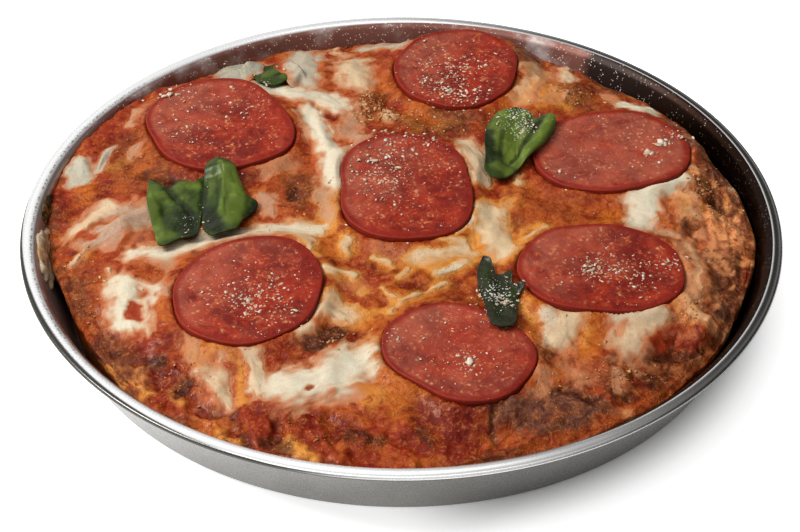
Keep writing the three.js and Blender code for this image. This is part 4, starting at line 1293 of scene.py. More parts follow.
@dataclass
class SteelPan:
    """The round pan, spun finely from its sheet's cross-section."""

    form: PanForm = PanForm()
    steps: int = 288
    rows: int = 150
    scorched: tuple[BearingBand, ...] = (
        BearingBand(38, 24, 1.9), BearingBand(12, 56, 1.3), BearingBand(330, 50, 1.5),
    )

    def outside(self, z: float) -> float:
        """Give the radius of the wall's outer face at a height."""
        return self.form.wall_inside(z) + self.form.sheet * 1.06

    def outline(self) -> Array:
        """Give the cross-section from the axis underneath to the axis inside."""
        form = self.form
        mouth, top = form.mouth_radius, form.height
        corner = form.corner_radius
        inner = corner - form.sheet
        bead = form.rim_radius - form.bead_radius
        lip = form.bead_middle - form.bead_radius * 0.75
        return np.array([
            (0, 0), (60, 0), *arc(self.outside(corner) - corner, corner, corner, -90, -10, 8),
            (self.outside(lip), lip), *arc(bead, form.bead_middle, form.bead_radius, -140, 105, 24),
            (bead - form.bead_radius * 0.75, form.bead_middle + form.bead_radius * 0.92),
            (mouth + 2.3, top), (mouth + 1.5, top - 0.08), (mouth + 0.8, top - 0.4),
            (mouth + 0.35, top - 0.9), (form.wall_inside(top - 1.8), top - 1.8),
            *arc(form.wall_inside(corner) - inner, corner, inner, -10, -90, 6), (60, form.sheet),
            (0, form.sheet),
        ])

    def sections(self) -> tuple[Array, Array]:
        """Spread the cross-section's points evenly over the shell's rows.

        Returns:
            Radii and heights, one for each row.
        """
        corners = self.outline()
        gaps = np.linalg.norm(np.diff(corners, axis=0), axis=1)
        weight = np.minimum(gaps, 0.25 * gaps**0.5 + 0.5 * gaps.clip(max=12) ** 0.5)
        run = np.concatenate([[0], np.cumsum(weight)])
        wanted = np.linspace(0, run[-1], self.rows + 1)
        return np.interp(wanted, run, corners[:, 0]), np.interp(wanted, run, corners[:, 1])

    def film(self, angle: Array, z: Array) -> tuple[Array, Array]:
        """Give the baked-on film and the burnt patches on the wall inside.

        Args:
            angle: bearings.
            z: heights.

        Returns:
            Film and burnt shares, from 0 to 1.
        """
        film = 0.3 + 0.7 * ease(0, 0.5, bump_at(angle, 100, 90))
        film = np.maximum(film, bump_at(angle, 215, 60))
        return film, np.clip(strongest(self.scorched, angle), 0, 1)

    def rim(self, radius: Array, angle: Array) -> tuple[Array, Array, Array, Array]:
        """Share out the top: the fold into the wall, the painted glare on the lip, its line of pits and its
        painted dark outer edge.

        Args:
            radius: distances from the axis, all on the upper side.
            angle: bearings.

        Returns:
            Shares of fold, of painted glare with its painted glint, of the pitted line and of the painted
            dark outer edge.
        """
        right = ease(-0.3, 0.8, np.cos(angle - math.radians(2)))
        out = radius - self.form.mouth_radius - mix(0.5, 1.7, right)
        fold = 1 - ease(-0.25, 0.1, out)
        # Painted glint: a thin bright line along the fold on the right.
        painted_glint = right * np.exp(-(((out - 0.25) / 0.2) ** 2))
        # Painted dark outer edge: a dark line along the bead's outside, widest on the lower left, standing
        # for shade and dark reflections.
        rim = (self.form.rim_radius - radius) / mix(0.3, 1.9, bump_at(angle, 214, 46))
        edge = (1 - ease(0.8, 1.2, rim)) * ease(0.05, 0.4, bump_at(angle, 205, 85))
        pits = np.exp(-(((out - 0.8) / 0.35) ** 2)) * ease(0.1, 0.5, bump_at(angle, 180, 62))
        # Painted glare: the lip is painted bright on the left and the front.
        return fold, np.maximum((1 - fold) * (1 - right), painted_glint) * (1 - edge), pits, edge

    def build(self, material: Material) -> None:
        """Build the pan and put it in place."""
        mesh, share, angle = turned_shell(self.rows, self.steps)
        radii, heights = self.sections()
        row = np.rint(share * self.rows).astype(int)
        radius, z = radii[row], heights[row]
        over = row > np.argmax(radii)
        film, burnt = self.film(angle, z)
        fold, painted_glare, pits, edge = self.rim(radius, angle)
        write_points(mesh, *round_to(radius, angle), z)
        marks = {"film": film * fold, "burnt": burnt * fold, "painted_glare": painted_glare, "pits": pits}
        for name, share in marks.items():
            paint_value(mesh, name, share * over)
        # Painted shade outside: the wall darkens just under the bead, over a wider band on the left, and more
        # on the front right. The lip outside the painted glare is painted dark as a dark reflection. It is
        # lighter at its outer part, except on the front right, and has a painted dark line at its outer edge.
        reach = mix(2.2, 11.0, bump_at(angle, 205, 50))
        painted_shadow_under_bead = 1 - ease(0.5, 1.0, (self.form.bead_middle - z) / reach)
        painted_shade_front_right = bump_at(angle, 318, 45)
        shaded = np.maximum(mix(0.72, 0.86, painted_shade_front_right), 0.97 * painted_shadow_under_bead)
        outer = ease(-1.5, -0.7, radius - self.form.rim_radius)
        plain = (1 - fold) * (1 - painted_glare) * mix(0.72, mix(0.42, 0.8, painted_shade_front_right), outer)
        lip = np.maximum(plain, 0.95 * edge)
        paint_value(mesh, "dull", np.where(over, lip, shaded))
        put_piece(mesh, "steel_pan", "pan_steel", material, ["pan"])


# ---- crust and topping


@dataclass
class DoughCrust:
    """The crust: a dish of dough with a raised, ridged and uneven edge."""

    form: FoodForm
    paint: FoodPaint
    steps: int = 620
    rows: int = 84

    def side(self, angle: Array, z: Array) -> Array:
        """Give the radius of the crust's outer side, which leans away from the wall."""
        form = self.form
        rise = form.crust_edge(angle) * 0.7 - form.crust_bottom
        lean = ease(0, 1, (z - form.crust_bottom) / rise)
        return form.pan.wall_inside(z) - mix(form.toe_gap, form.edge_gap(angle), lean)

    def section(self, angle: Array) -> tuple[Array, Array]:
        """Give the corners of the cross-section at each bearing.

        Args:
            angle: bearings, n of them.

        Returns:
            Radii and heights, each n by 11.
        """
        form = self.form
        edge = form.crust_edge(angle)
        side = partial(self.side, angle)
        inner = form.sauce_radius(angle) + form.gap * 2
        inner_edge = form.topping(*round_to(inner, angle)) - 0.3
        shoulder = side(edge) - 0.8
        band = shoulder - inner
        roll = ease(4, 14, band) * form.roll_swell
        bottom = np.full_like(angle, form.crust_bottom)
        floor = np.full_like(angle, form.crust_floor)
        none = np.zeros_like(angle)
        corners = [
            (none, bottom), (side(bottom) - 3, bottom), (side(bottom + 2), bottom + 2),
            (side(edge * 0.55), edge * 0.55), (side(edge - 2), edge - 2),
            (shoulder, edge - 0.4),
            (inner + band * 0.55, mix(edge, inner_edge, 0.5) + roll),
            (inner + band * 0.15, mix(edge, inner_edge, 0.9) + roll * 0.6),
            (inner, inner_edge), (inner - form.inner_slant, floor), (none, floor),
        ]
        return np.stack([c[0] for c in corners], 1), np.stack([c[1] for c in corners], 1)

    def build(self, material: Material) -> None:
        """Build the crust and put it in place."""
        mesh, share, angle = turned_shell(self.rows, self.steps)
        radii, heights = self.section(angle)
        knots = np.array([0, 2, 6, 18, 30, 40, 56, 68, 76, 82, 84]) / 84
        radius, z = np.zeros_like(share), np.zeros_like(share)
        for index in range(len(knots) - 1):
            here = (share >= knots[index] - 1e-6) & (share <= knots[index + 1] + 1e-6)
            part = (share[here] - knots[index]) / (knots[index + 1] - knots[index])
            radius[here] = mix(radii[here, index], radii[here, index + 1], part)
            z[here] = mix(heights[here, index], heights[here, index + 1], part)
        x, y = round_to(radius, angle)
        skin = self.paint.at(x, y, z)
        shown = ease(0.1, 0.3, share) * (1 - ease(0.93, 0.97, share))
        ridge = fractal(plane(np.degrees(angle) * 1.3, share * 60), 7, 3, 61)
        bumps = fractal(np.stack([x, y, z], 1), 4.5, 3, 67)
        top = ease(0.42, 0.5, share)
        swell = shown * (0.55 * ridge + 0.35 * bumps)
        z = z + top * (swell + 0.6 * skin.relief * shown)
        beyond = radius - self.form.sauce_radius(angle)
        joined = self.form.topping(x, y) + skin.relief - 0.3
        own = np.where((share > 0.6) & (beyond > 0), ease(0.6, 6.0, beyond), 1)
        z = mix(joined, z, own)
        radius = radius + (1 - top) * np.minimum(swell, 0.25)
        write_points(mesh, *round_to(radius, angle), z)
        skin.store(mesh)
        put_piece(mesh, "dough_crust", "baked_crust", material, ["crust"])


@dataclass
class BakedTopping:
    """The domed layer of baked sauce and cheese, with all its small relief."""

    form: FoodForm
    paint: FoodPaint
    cells: int = 290
    overlap: float = 3.6
    wall_gap: float = 0.15

    def surface(self, x: Array, y: Array) -> tuple[Array, Skin]:
        """Work out the topping's height and skin, whose relief lies flat under a slice."""
        z = self.form.topping(x, y)
        skin = self.paint.at(x, y, z)
        return z + skin.relief * ease(0.98, 1.03, self.form.nearest_slice(x, y)), skin

    def build(self, material: Material) -> None:
        """Build the topping and put it in place."""
        bm = bmesh.new()
        bmesh.ops.create_grid(bm, x_segments=self.cells, y_segments=self.cells, size=1)
        rim = [edge for edge in bm.edges if edge.is_boundary]
        for drop in (-1.0, -1.0):
            skirt = bmesh.ops.extrude_edge_only(bm, edges=rim)["geom"]
            lower = [part for part in skirt if isinstance(part, bmesh.types.BMVert)]
            bmesh.ops.translate(bm, verts=lower, vec=(0, 0, drop))
            rim = [part for part in skirt if isinstance(part, bmesh.types.BMEdge) and part.is_boundary]
        bmesh.ops.pointmerge(bm, verts=lower, merge_co=(0, 0, -2))
        mesh = bpy.data.meshes.new("topping")
        bm.to_mesh(mesh)
        bm.free()
        grid = read_points(mesh)
        level = np.rint(grid[:, 2]).astype(int)
        u = grid[:, 0] * np.sqrt(1 - grid[:, 1] ** 2 / 2)
        v = grid[:, 1] * np.sqrt(1 - grid[:, 0] ** 2 / 2)
        angle = np.arctan2(v, u)
        edge = self.form.sauce_radius(angle)
        radius = np.hypot(u, v) * (edge + self.overlap)
        radius = np.where(level == -1, edge - self.form.inner_slant, radius)
        x, y = round_to(radius, angle)
        z, skin = self.surface(x, y)
        z = z - 1.4 * ease(0.0, self.overlap, radius - edge)
        z = np.where(level < 0, self.form.crust_floor + self.form.gap, z)
        fit = np.minimum(1, (self.form.pan.wall_inside(z) - self.wall_gap) / np.maximum(radius, 1))
        write_points(mesh, x * fit, y * fit, z)
        skin.store(mesh)
        put_piece(mesh, "baked_topping", "sauce_and_cheese", material, ["sauce_and_cheese"])


@dataclass
class MeltedCheese:
    """One strand or blob of mozzarella, melted into the topping at its edge."""

    melt: MeltForm
    topping: BakedTopping
    leaf: Optional[Supports] = None
    rows: int = 44
    steps: int = 88

    def build(self, material: Material) -> None:
        """Build the piece and put it in place."""
        mesh, share, angle = turned_shell(self.rows, self.steps)
        top = share >= 0.5
        reach = np.where(top, (1 - share) * 2, share * 2)
        phase = self.melt.half * 3.1
        wobble = 0.1 * np.sin(3 * angle + phase) + 0.07 * np.sin(5 * angle + 2 * phase)
        wide = reach * (1.06 + wobble)
        x, y = self.melt.place(*round_to(wide, angle))
        bearing = np.arctan2(y, x)
        limit = self.topping.form.crust_radius(bearing) - 1.0
        shrink = np.minimum(1, limit / np.maximum(np.hypot(x, y), 1e-6))
        x, y = x * shrink, y * shrink
        base, skin = self.topping.surface(x, y)
        if self.leaf is not None:
            over = self.leaf.highest_near(x, y, 3.6) + 0.3
            base = np.maximum(base, over)
        free = ease(1.0, 1.1, self.topping.form.nearest_slice(x, y))
        crown = 1 - ease(0.0, 1.0, reach)
        lumps = 1 + 0.35 * fractal(plane(x, y), 8.0, 2, 71)
        body = self.melt.thick * 0.7 * crown * lumps * free
        z = base - 0.35 + np.where(top, body + 0.25 * free * ease(0, 0.2, 1 - reach), -0.5)
        write_points(mesh, x, y, z)
        if self.leaf is not None:
            soften(mesh, 10)
        skin.store(mesh)
        name = self.melt.name
        put_piece(mesh, f"melted_{name}", "mozzarella", material, [f"mozzarella_{name}"])


# ---- pepperoni


def dust_at(spots: Array) -> Array:
    """Give how thickly fine grated cheese lies at each place, from 0 to 1."""
    dust = np.full(len(spots), 0.12)
    for pinch in PARMESAN:
        away = np.linalg.norm(spots - np.array([pinch.x, pinch.y]), axis=1) / pinch.spread
        dust += pinch.count * pinch.size / pinch.spread**2 * 0.55 * np.exp(-(away**2) / 2)
    return np.clip(dust, 0, 1)


@dataclass
class PepperoniSlice:
    """One slice of pepperoni, sagged onto the topping."""

    cut: SliceForm
    form: FoodForm
    thickness: float = 2.2
    sunk: float = 0.8
    round_rows: float = 0.08
    squareness: float = 0.5
    rows: int = 96
    steps: int = 150

    def surface(self, reach: Array, angle: Array) -> tuple[Array, Array, Array]:
        """Give the sheet that the slice is curled along.

        Args:
            reach: how far out each point is, 1 being the outline.
            angle: bearings from the slice's middle.

        Returns:
            Positions to the right and to the far side, and the underside's height.
        """
        radius = reach * self.cut.radius(angle)
        x, y = self.cut.x + radius * np.cos(angle), self.cut.y + radius * np.sin(angle)
        far = ease(-0.2, 1, np.sin(angle)) * 0.8 + 0.2
        curl = self.cut.curl * far * ease(0.45, 1.1, reach)
        wave = 0.25 * reach**2 * (1 + np.sin(3 * angle + self.cut.x))
        return x, y, self.form.slice_plane(self.cut, x, y) + curl + wave

    def build(self, material: Material) -> None:
        """Build the slice and put it in place."""
        mesh, share, angle = turned_shell(self.rows, self.steps)
        top = share > 0.5
        from_pole = np.where(top, 1 - share, share)
        flat_rows = 0.5 - self.round_rows
        flat = np.clip(from_pole / flat_rows, 0, 1)
        turn = np.clip((from_pole - flat_rows) / self.round_rows, 0, 1) * math.pi / 2
        lip = self.thickness / 2 / self.cut.radius(angle)
        reach = flat * (1 - lip) + lip * np.sin(turn) ** self.squareness
        lift = self.thickness / 2 * (1 + np.where(top, 1, -1) * np.cos(turn) ** self.squareness)
        x, y, z = self.surface(reach, angle)
        z = z - np.where(top, 0, self.sunk * ease(0.9, 1.0, reach))
        spots = plane(x, y)
        inner = 1 - ease(0.9, 1.0, reach)
        dimple = (0.3 * fractal(spots, 9.0, 3, 81) - 0.25 * (1 - inner)) * (0.3 + 0.7 * inner)
        write_points(mesh, x, y, z + lift + np.where(top, dimple, 0))
        ragged = reach + 0.02 * fractal(spots, 4.0, 2, 83)
        paint_value(mesh, "rim", ease(0.88, 0.95, ragged))
        paint_value(mesh, "edge", 1.0 * (reach > 0.985))
        paint_value(mesh, "dust", dust_at(spots))
        # Painted sheen: paler towards the slice's upper left, where the soft light would shine on it, and
        # over the whole slice by its own share.
        painted_sheen = ease(-0.3, 0.9, reach * np.cos(angle - math.radians(150)))
        paint_value(mesh, "painted_sheen", inner * np.maximum(painted_sheen, self.cut.painted_sheen_all_over))
        number = self.cut.number
        put_piece(mesh, f"pepperoni_slice_{number}", "pepperoni", material, [f"pepperoni_{number}"])


# ---- basil


@dataclass(frozen=True)
class LeafForm:
    """One basil leaf: its outline as it looks from the camera's side, and its strokes, which paint its own
    greens along with painted highlights on its folds and painted shade in its creases.
    """

    name: str
    outline: Path
    cup: float
    ground: Tint
    strokes: Sequence[Dab]

    def place(self, reach: Array, angle: Array) -> Array:
        """Lay points between the middle and the outline.

        Args:
            reach: how far out each point is, 1 being the outline.
            angle: bearings, -pi to pi, which run along the outline.

        Returns:
            One position for each point.
        """
        closed = sample_curve([*self.outline, self.outline[0]], 721)
        part = (angle + math.pi) / TAU * 720
        edge = plane(np.interp(part, np.arange(721), closed[:, 0]),
                     np.interp(part, np.arange(721), closed[:, 1]))
        middle = np.mean(np.array(self.outline), axis=0)
        spine = np.stack([np.full(len(edge), middle[0]), mix(middle[1], edge[:, 1], 0.45)], axis=1)
        heart = mix(middle, spine, ease(0, 0.6, reach)[:, None])
        return mix(heart, edge, reach[:, None])


LEAVES = (
    LeafForm("left_outer", (
        (-86.4, 17.7), (-79.5, 12.5), (-75.5, 17.3), (-70.5, 16), (-67.5, 20), (-66.5, 8),
        (-66.5, -2), (-66.8, -11), (-67.3, -16.5), (-72, -17.5), (-78.6, -21.4), (-81.4, -13.2),
        (-83.6, -5), (-85.9, 5),
    ), 0.6, Tint.LEAF, [
        *dabs(Tint.LEAF_LIGHT, [
            (-84.5, 12, -83, -2, -79.5, -16, 2.6, 5.5, 5), (-83.2, 6.4, -76.1, 10.9, 2.2, 6, 5),
            (-73.5, 14, -69, 13, 3, 6, 9), (-80, -18, -76, -15, 3, 6, 2), (-78, 4, -74, 6, 3, 3.5, 3),
        ]),
        *dabs(Tint.LEAF_DARK, [
            (-79.5, 11, -75, 5, -70, -2, 1.7, 8.5, -8), (-72, -5, -69, -15, 4.6, 9.5, -4),
            (-80, -2, -75, -12, 1.4, 4, -4), (-67, 16, -67, 0, 1.6, 8, -5),
        ]),
    ]),
    LeafForm("left_inner", (
        (-63.6, 28.5), (-58.6, 25.5), (-55, 17.7), (-52.3, 9.5), (-48.2, 4.5), (-51.4, -3),
        (-54.5, -12.3), (-57.7, -14.5), (-62.3, -15.5), (-65.5, -9.5), (-67, 8), (-67.5, 20.5),
        (-66.8, 25),
    ), 2.2, Tint.LEAF, [
        *dabs(Tint.LEAF_LIGHT, [
            (-59, 20, -55.5, 8, -56, -8, 3.6, 7.5, 3), (-62, 24, -60.5, 8, -60, -4, 1.3, 6, 5),
            (-57, 22, -53.5, 8, 1.1, 6, 4), (-64.5, 20, -64.5, 8, 1.6, 3.5, 3),
        ]),
        *dabs(Tint.LEAF_DARK, [
            (-61.6, 16, -61.5, 0, 0.8, 6, -4), (-64.5, -2, -61, -13, 3.4, 9.5, -3),
            (-66.5, 14, -66.5, 0, 1.4, 8, -4), (-49, 4, -51, -4, 1.8, 8.5, -2),
        ]),
    ]),
    LeafForm("right", (
        (37.7, 61.4), (42.3, 62.5), (45.9, 61.4), (47.3, 56.8), (50.5, 55.9), (54.1, 55),
        (54.8, 49.5), (53.2, 43.2), (49.5, 35.9), (45, 29.5), (39.5, 22.3), (35.9, 18.2),
        (30.9, 17.3), (28.6, 20.5), (29.1, 29.5), (29.1, 40.5), (30, 47.7), (31.8, 54.1), (34.1, 59.1),
    ), 0.4, Tint.LEAF, [
        *dabs(Tint.LEAF_LIGHT, [
            (53.5, 52, 48, 38, 40, 25, 2.4, 8.5, 14), (37, 58, 34, 48, 35, 36, 4, 7.5, 6),
            (41, 46, 38, 28, 3, 6, 3), (33, 24, 37, 21, 2.6, 7, 5), (45, 58, 41, 48, 4, 7, 3),
            (44, 42, 40, 32, 4, 6, 2),
        ]),
        *dabs(Tint.LEAF_DARK, [
            (31, 46, 30.5, 26, 2.2, 8.5, -4), (49, 50, 44, 38, 38, 27, 1.2, 7.5, -9),
            (36, 46, 34, 30, 1, 6, -4), (46, 57, 46, 50, 1.2, 5, -3),
        ]),
    ]),
    LeafForm("front", (
        (26.4, -26.4), (28.8, -27.7), (29.4, -34), (35, -35.5), (35.5, -40.5), (39.4, -41.8),
        (37, -45.9), (36.4, -55), (34.3, -62.3), (28.6, -62.3), (26.4, -55), (25, -45.9),
        (24.3, -37.7), (24.5, -31.4),
    ), 0.3, Tint.LEAF_WILTED, [
        *dabs(Tint.LEAF, [(36, -42, 33, -50, 1.4, 5, 3), (27, -32, 27, -42, 1.3, 4, 3)]),
        *dabs(Tint.LEAF_DARK, [(31, -38, 31, -58, 1.6, 8, -4)]),
    ]),
    LeafForm("back", (
        (-53, 80), (-47, 77.5), (-41, 82), (-38.5, 88), (-40, 94.5), (-45, 95.5), (-51, 93), (-56, 87),
    ), 0.2, Tint.LEAF, [
        *dabs(Tint.LEAF_LIGHT, [(-45, 90, -50, 84, 2.2, 5, 3), (-42, 86, -44, 82, 1.4, 4, 2)]),
        *dabs(Tint.LEAF_DARK, [(-50, 90, -54, 87, 1.6, 6, -3), (-46, 84, -40, 92, 1, 6, -3)]),
    ]),
)


@dataclass
class BasilLeaf:
    """A thin, wavy basil leaf laid over the food."""

    leaf: LeafForm
    supports: Supports
    form: FoodForm
    thickness: float = 0.6
    clearance: float = 1.2
    support_reach: float = 4.0
    rows: int = 80
    steps: int = 150

    def build(self, material: Material) -> None:
        """Build the leaf and put it in place."""
        mesh, share, angle = turned_shell(self.rows, self.steps)
        top = share > 0.5
        from_pole = np.where(top, 1 - share, share) * 2
        reach = np.sin(np.clip(from_pole, 0, 1) * math.pi / 2)
        seen = self.leaf.place(reach, angle)
        tear = fractal(seen, 3.0, 3, 97)
        colour = self.leaf.ground.spread(len(seen))
        relief = self.leaf.cup * (1 - reach**2) + 0.25 * fractal(seen, 5.0, 2, 91)
        for stroke in self.leaf.strokes:
            cover = stroke.cover(seen, tear * 0.5) * stroke.strength
            colour = tint_mix(colour, stroke.tint, cover)
            relief = relief + cover * stroke.rise
        x, y = seen[:, 0], seen[:, 1] - 3.0
        rest = self.supports.highest_near(x, y, self.support_reach)
        thick = self.thickness * np.minimum(1, 0.4 + np.clip(1 - from_pole, 0, 1) * 10)
        z = rest + self.clearance + relief + np.where(top, thick, 0)
        write_points(mesh, x, y, z)
        soften(mesh, 14)
        x, y, z = (read_points(mesh) / MM).T
        lift = z - self.form.dome(x, y) - 1
        write_points(mesh, x, seen[:, 1] - self.form.sight_slope * np.mean(lift), z)
        paint_colour(mesh, "paint", colour * (1 + 0.5 * ease(0.1, 0.9, tear))[:, None])
        paint_value(mesh, "dust", dust_at(plane(x, y)))
        put_piece(mesh, f"basil_leaf_{self.leaf.name}", "basil", material, [f"basil_{self.leaf.name}"])


# ---- scraps on the wall


@dataclass(frozen=True)
class WallScrap:
    """A thin ragged scrap that has baked onto the pan's wall."""

    name: str
    start: float
    end: float
    low: float
    high: float
    thick: float
    colour: Colour
    spots: Colour
    rows: int = 40
    steps: int = 90

    def build(self, pan: PanForm, material: Material) -> None:
        """Build the scrap and put it in place."""
        mesh, share, angle = turned_shell(self.rows, self.steps)
        front = share > 0.5
        reach = np.where(front, 1 - share, share) * 2
        ragged = 0.9 + 0.07 * np.sin(5 * angle + self.start) + 0.05 * np.sin(11 * angle)
        u, v = round_to(reach * ragged, angle)
        bearing = np.radians((self.start + self.end) / 2 + u * (self.end - self.start) / 2)
        z = (self.low + self.high) / 2 + v * (self.high - self.low) / 2
        spots = plane(np.degrees(bearing) * 2.1, z)
        swell = self.thick * np.sqrt(np.clip(1 - reach**4, 0, 1)) * (0.7 + 0.25 * fractal(spots, 3.0, 3, 101))
        radius = pan.wall_inside(z) - 0.03 - np.where(front, swell, 0)
        write_points(mesh, *round_to(radius, bearing), z)
        shade = ease(-0.2, 0.7, fractal(spots, 2.4, 3, 103))
        colour = mix(np.array(self.colour), np.array(self.spots), shade[:, None])
        Skin(colour, colour, colour, np.zeros(len(share)), np.full(len(share), 0.3), swell).store(mesh)
        put_piece(mesh, f"baked_{self.name}", "baked_scraps", material, [self.name])


SCRAPS = (
    WallScrap("wall_cheese", 180.5, 196, 13.0, 25.2, 2.4, (0.36, 0.26, 0.15), (0.52, 0.47, 0.36)),
    WallScrap("wall_herb", 173, 181, 19.5, 25.2, 1.2, (0.035, 0.03, 0.012), (0.16, 0.11, 0.05)),
)


# ---- crumbs


@dataclass(frozen=True)
class Sprinkle:
    """A cluster of crumbs: middle, spread, how many and their usual size."""

    x: float
    y: float
    spread: float
    count: int
    size: float


class Crumbs:
    """Small bits scattered over the food, joined into one piece."""

    def __init__(self, name: str, slot: str, seed: int, heights: Heights) -> None:
        """Start an empty scatter that lies on what heights gives, or nowhere if that is low."""
        self.name = name
        self.slot = slot
        self.heights = heights
        self.random = np.random.default_rng(seed)
        self.mesh = bpy.data.meshes.new(name)
        self.batch = bmesh.new()

    def add(self, x: float, y: float, z: float, size: float, flat: float) -> None:
        """Add one crumb of this half size."""
        turn = Matrix.Rotation(self.random.uniform(0, TAU), 4, "Z") @ Matrix.Rotation(
            self.random.uniform(-0.5, 0.5), 4, "X")
        grow = Matrix.Diagonal((
            size * self.random.uniform(0.7, 1.5) * MM, size * self.random.uniform(0.5, 1.0) * MM,
            size * flat * MM, 1,
        ))
        middle = Vector((x, y, z + size * flat * 0.25)) * MM
        made = bmesh.ops.create_icosphere(
            self.batch, subdivisions=2 if size > 1.1 else 1, radius=1,
            matrix=Matrix.Translation(middle) @ turn @ grow,
        )
        for vert in made["verts"]:
            vert.co = middle + (vert.co - middle) * (1 + self.random.uniform(-0.38, 0.38))
        if len(self.batch.verts) > 900:
            self.join()

    def join(self) -> None:
        """Add the batch to the mesh, as a small batch is quicker to add crumbs to."""
        self.batch.from_mesh(self.mesh)
        self.batch.to_mesh(self.mesh)
        self.batch.clear()

    def lay(self, rows: Array, flat: float) -> None:
        """Lay crumbs at rows of x, y and half size."""
        for (x, y, size), z in zip(rows, self.heights(rows[:, 0], rows[:, 1])):
            if z > 0:
                self.add(x, y, z, size, flat)

    def sprinkle(self, clusters: Iterable[Sprinkle]) -> None:
        """Scatter clusters of crumbs."""
        for cluster in clusters:
            rows = np.zeros((cluster.count, 3))
            rows[:, 0] = self.random.normal(cluster.x, cluster.spread, cluster.count)
            rows[:, 1] = self.random.normal(cluster.y, cluster.spread, cluster.count)
            sizes = cluster.size * self.random.lognormal(-0.1, 0.55, cluster.count)
            rows[:, 2] = np.minimum(sizes, cluster.size * 2.4)
            self.lay(rows, 0.42)

    def build(self, material: Material) -> None:
        """Join the crumbs into one piece and put it in place."""
        self.batch.from_mesh(self.mesh)
        bmesh.ops.recalc_face_normals(self.batch, faces=self.batch.faces[:])
        self.batch.to_mesh(self.mesh)
        self.batch.free()
        self.mesh.polygons.foreach_set("use_smooth", np.ones(len(self.mesh.polygons), bool))
        put_piece(self.mesh, self.name, self.slot, material)


LARGE_CRUMBS = (
    (91, 38, 1.8), (92.4, 36.7, 1.3), (89.9, 36.4, 1.2), (93.2, 39.2, 0.9), (86, 31.5, 1.6),
    (87.4, 30.8, 1.2), (84.9, 30.4, 0.9), (-84, 66, 1.5), (-76, 47, 1.3), (17, 71, 1.3), (27, 72, 1.2),
    (-9, 24, 1.2), (4, 30, 1.1), (-48, -51, 1.3), (61, -35, 1.2), (21, -79, 1.3),
)
PARMESAN = [Sprinkle(*row) for row in (
    (-70, 56, 12, 117, 0.26), (-83, 68, 4, 31, 0.43), (-57, 60, 6, 39, 0.31), (-72, 44, 6, 31, 0.31),
    (19, 70, 7, 169, 0.34), (16, 87, 6, 117, 0.34), (28, 92, 5, 52, 0.31), (20, 84, 12, 91, 0.25),
    (74, 34, 13, 78, 0.22), (57, 14, 4, 18, 0.31), (88, 31, 4, 18, 0.31), (-8, 16, 6, 117, 0.34),
    (-3, 32, 7, 117, 0.34), (0, 8, 11, 117, 0.26), (10, 34, 4, 39, 0.31), (-48, -50, 6, 91, 0.34),
    (-42, -44, 7, 78, 0.28), (-39, -57, 5, 52, 0.28), (-52, -44, 11, 91, 0.24), (62, -34, 5, 65, 0.31),
    (70, -30, 6, 65, 0.28), (76, -39, 4, 39, 0.31), (88, -30, 3, 34, 0.34), (64, -33, 12, 91, 0.24),
    (20, -78, 4, 52, 0.34), (16, -72, 11, 91, 0.22), (-2, -70, 3, 13, 0.31), (42, 54, 4.2, 143, 0.31),
    (42, 43, 3.2, 60, 0.31), (36, 46, 5, 39, 0.25), (31, -48, 2.6, 78, 0.31), (30, -54, 5, 78, 0.26),
    (28, -40, 3, 31, 0.26), (-70, -10, 4.5, 65, 0.25), (-60, 12, 5, 21, 0.22), (104, 52, 3, 29, 0.34),
    (-50, 82, 5, 52, 0.22), (98, 42, 3, 26, 0.4), (30, -50, 3.2, 40, 0.34),
)]
GRANULES = [Sprinkle(*row) for row in (
    (-10, 64, 4.14, 83, 0.4), (-13, 58, 3.45, 43, 0.45), (-5, 56, 2.53, 18, 0.6), (64, 72, 3.68, 61, 0.4),
    (106, 14, 4.4, 120, 0.34), (106, 4, 4.0, 70, 0.3), (66, -80, 4.6, 47, 0.45), (112, 16, 2.4, 29, 0.4),
    (-20, -68, 2.76, 29, 0.3), (-103, -48, 4.6, 65, 0.22), (-100, -62, 3.45, 25, 0.25),
    (-104, -22, 2.3, 18, 0.3), (-95, -64, 0.8, 5, 0.9), (-98, -67, 0.8, 5, 0.8), (-96, -33, 1.15, 9, 0.55),
    (4, 58, 5.75, 47, 0.3), (14, 48, 4.6, 36, 0.3), (52, -90, 4.02, 22, 0.25), (-28, -108, 4.6, 36, 0.35),
    (-66, -84, 5.17, 43, 0.3), (96, -50, 3.45, 22, 0.4), (88, -78, 5.75, 40, 0.3), (-96, 28, 6.9, 47, 0.25),
    (-36, 8, 5.75, 43, 0.25),
)]


# ---- light and camera


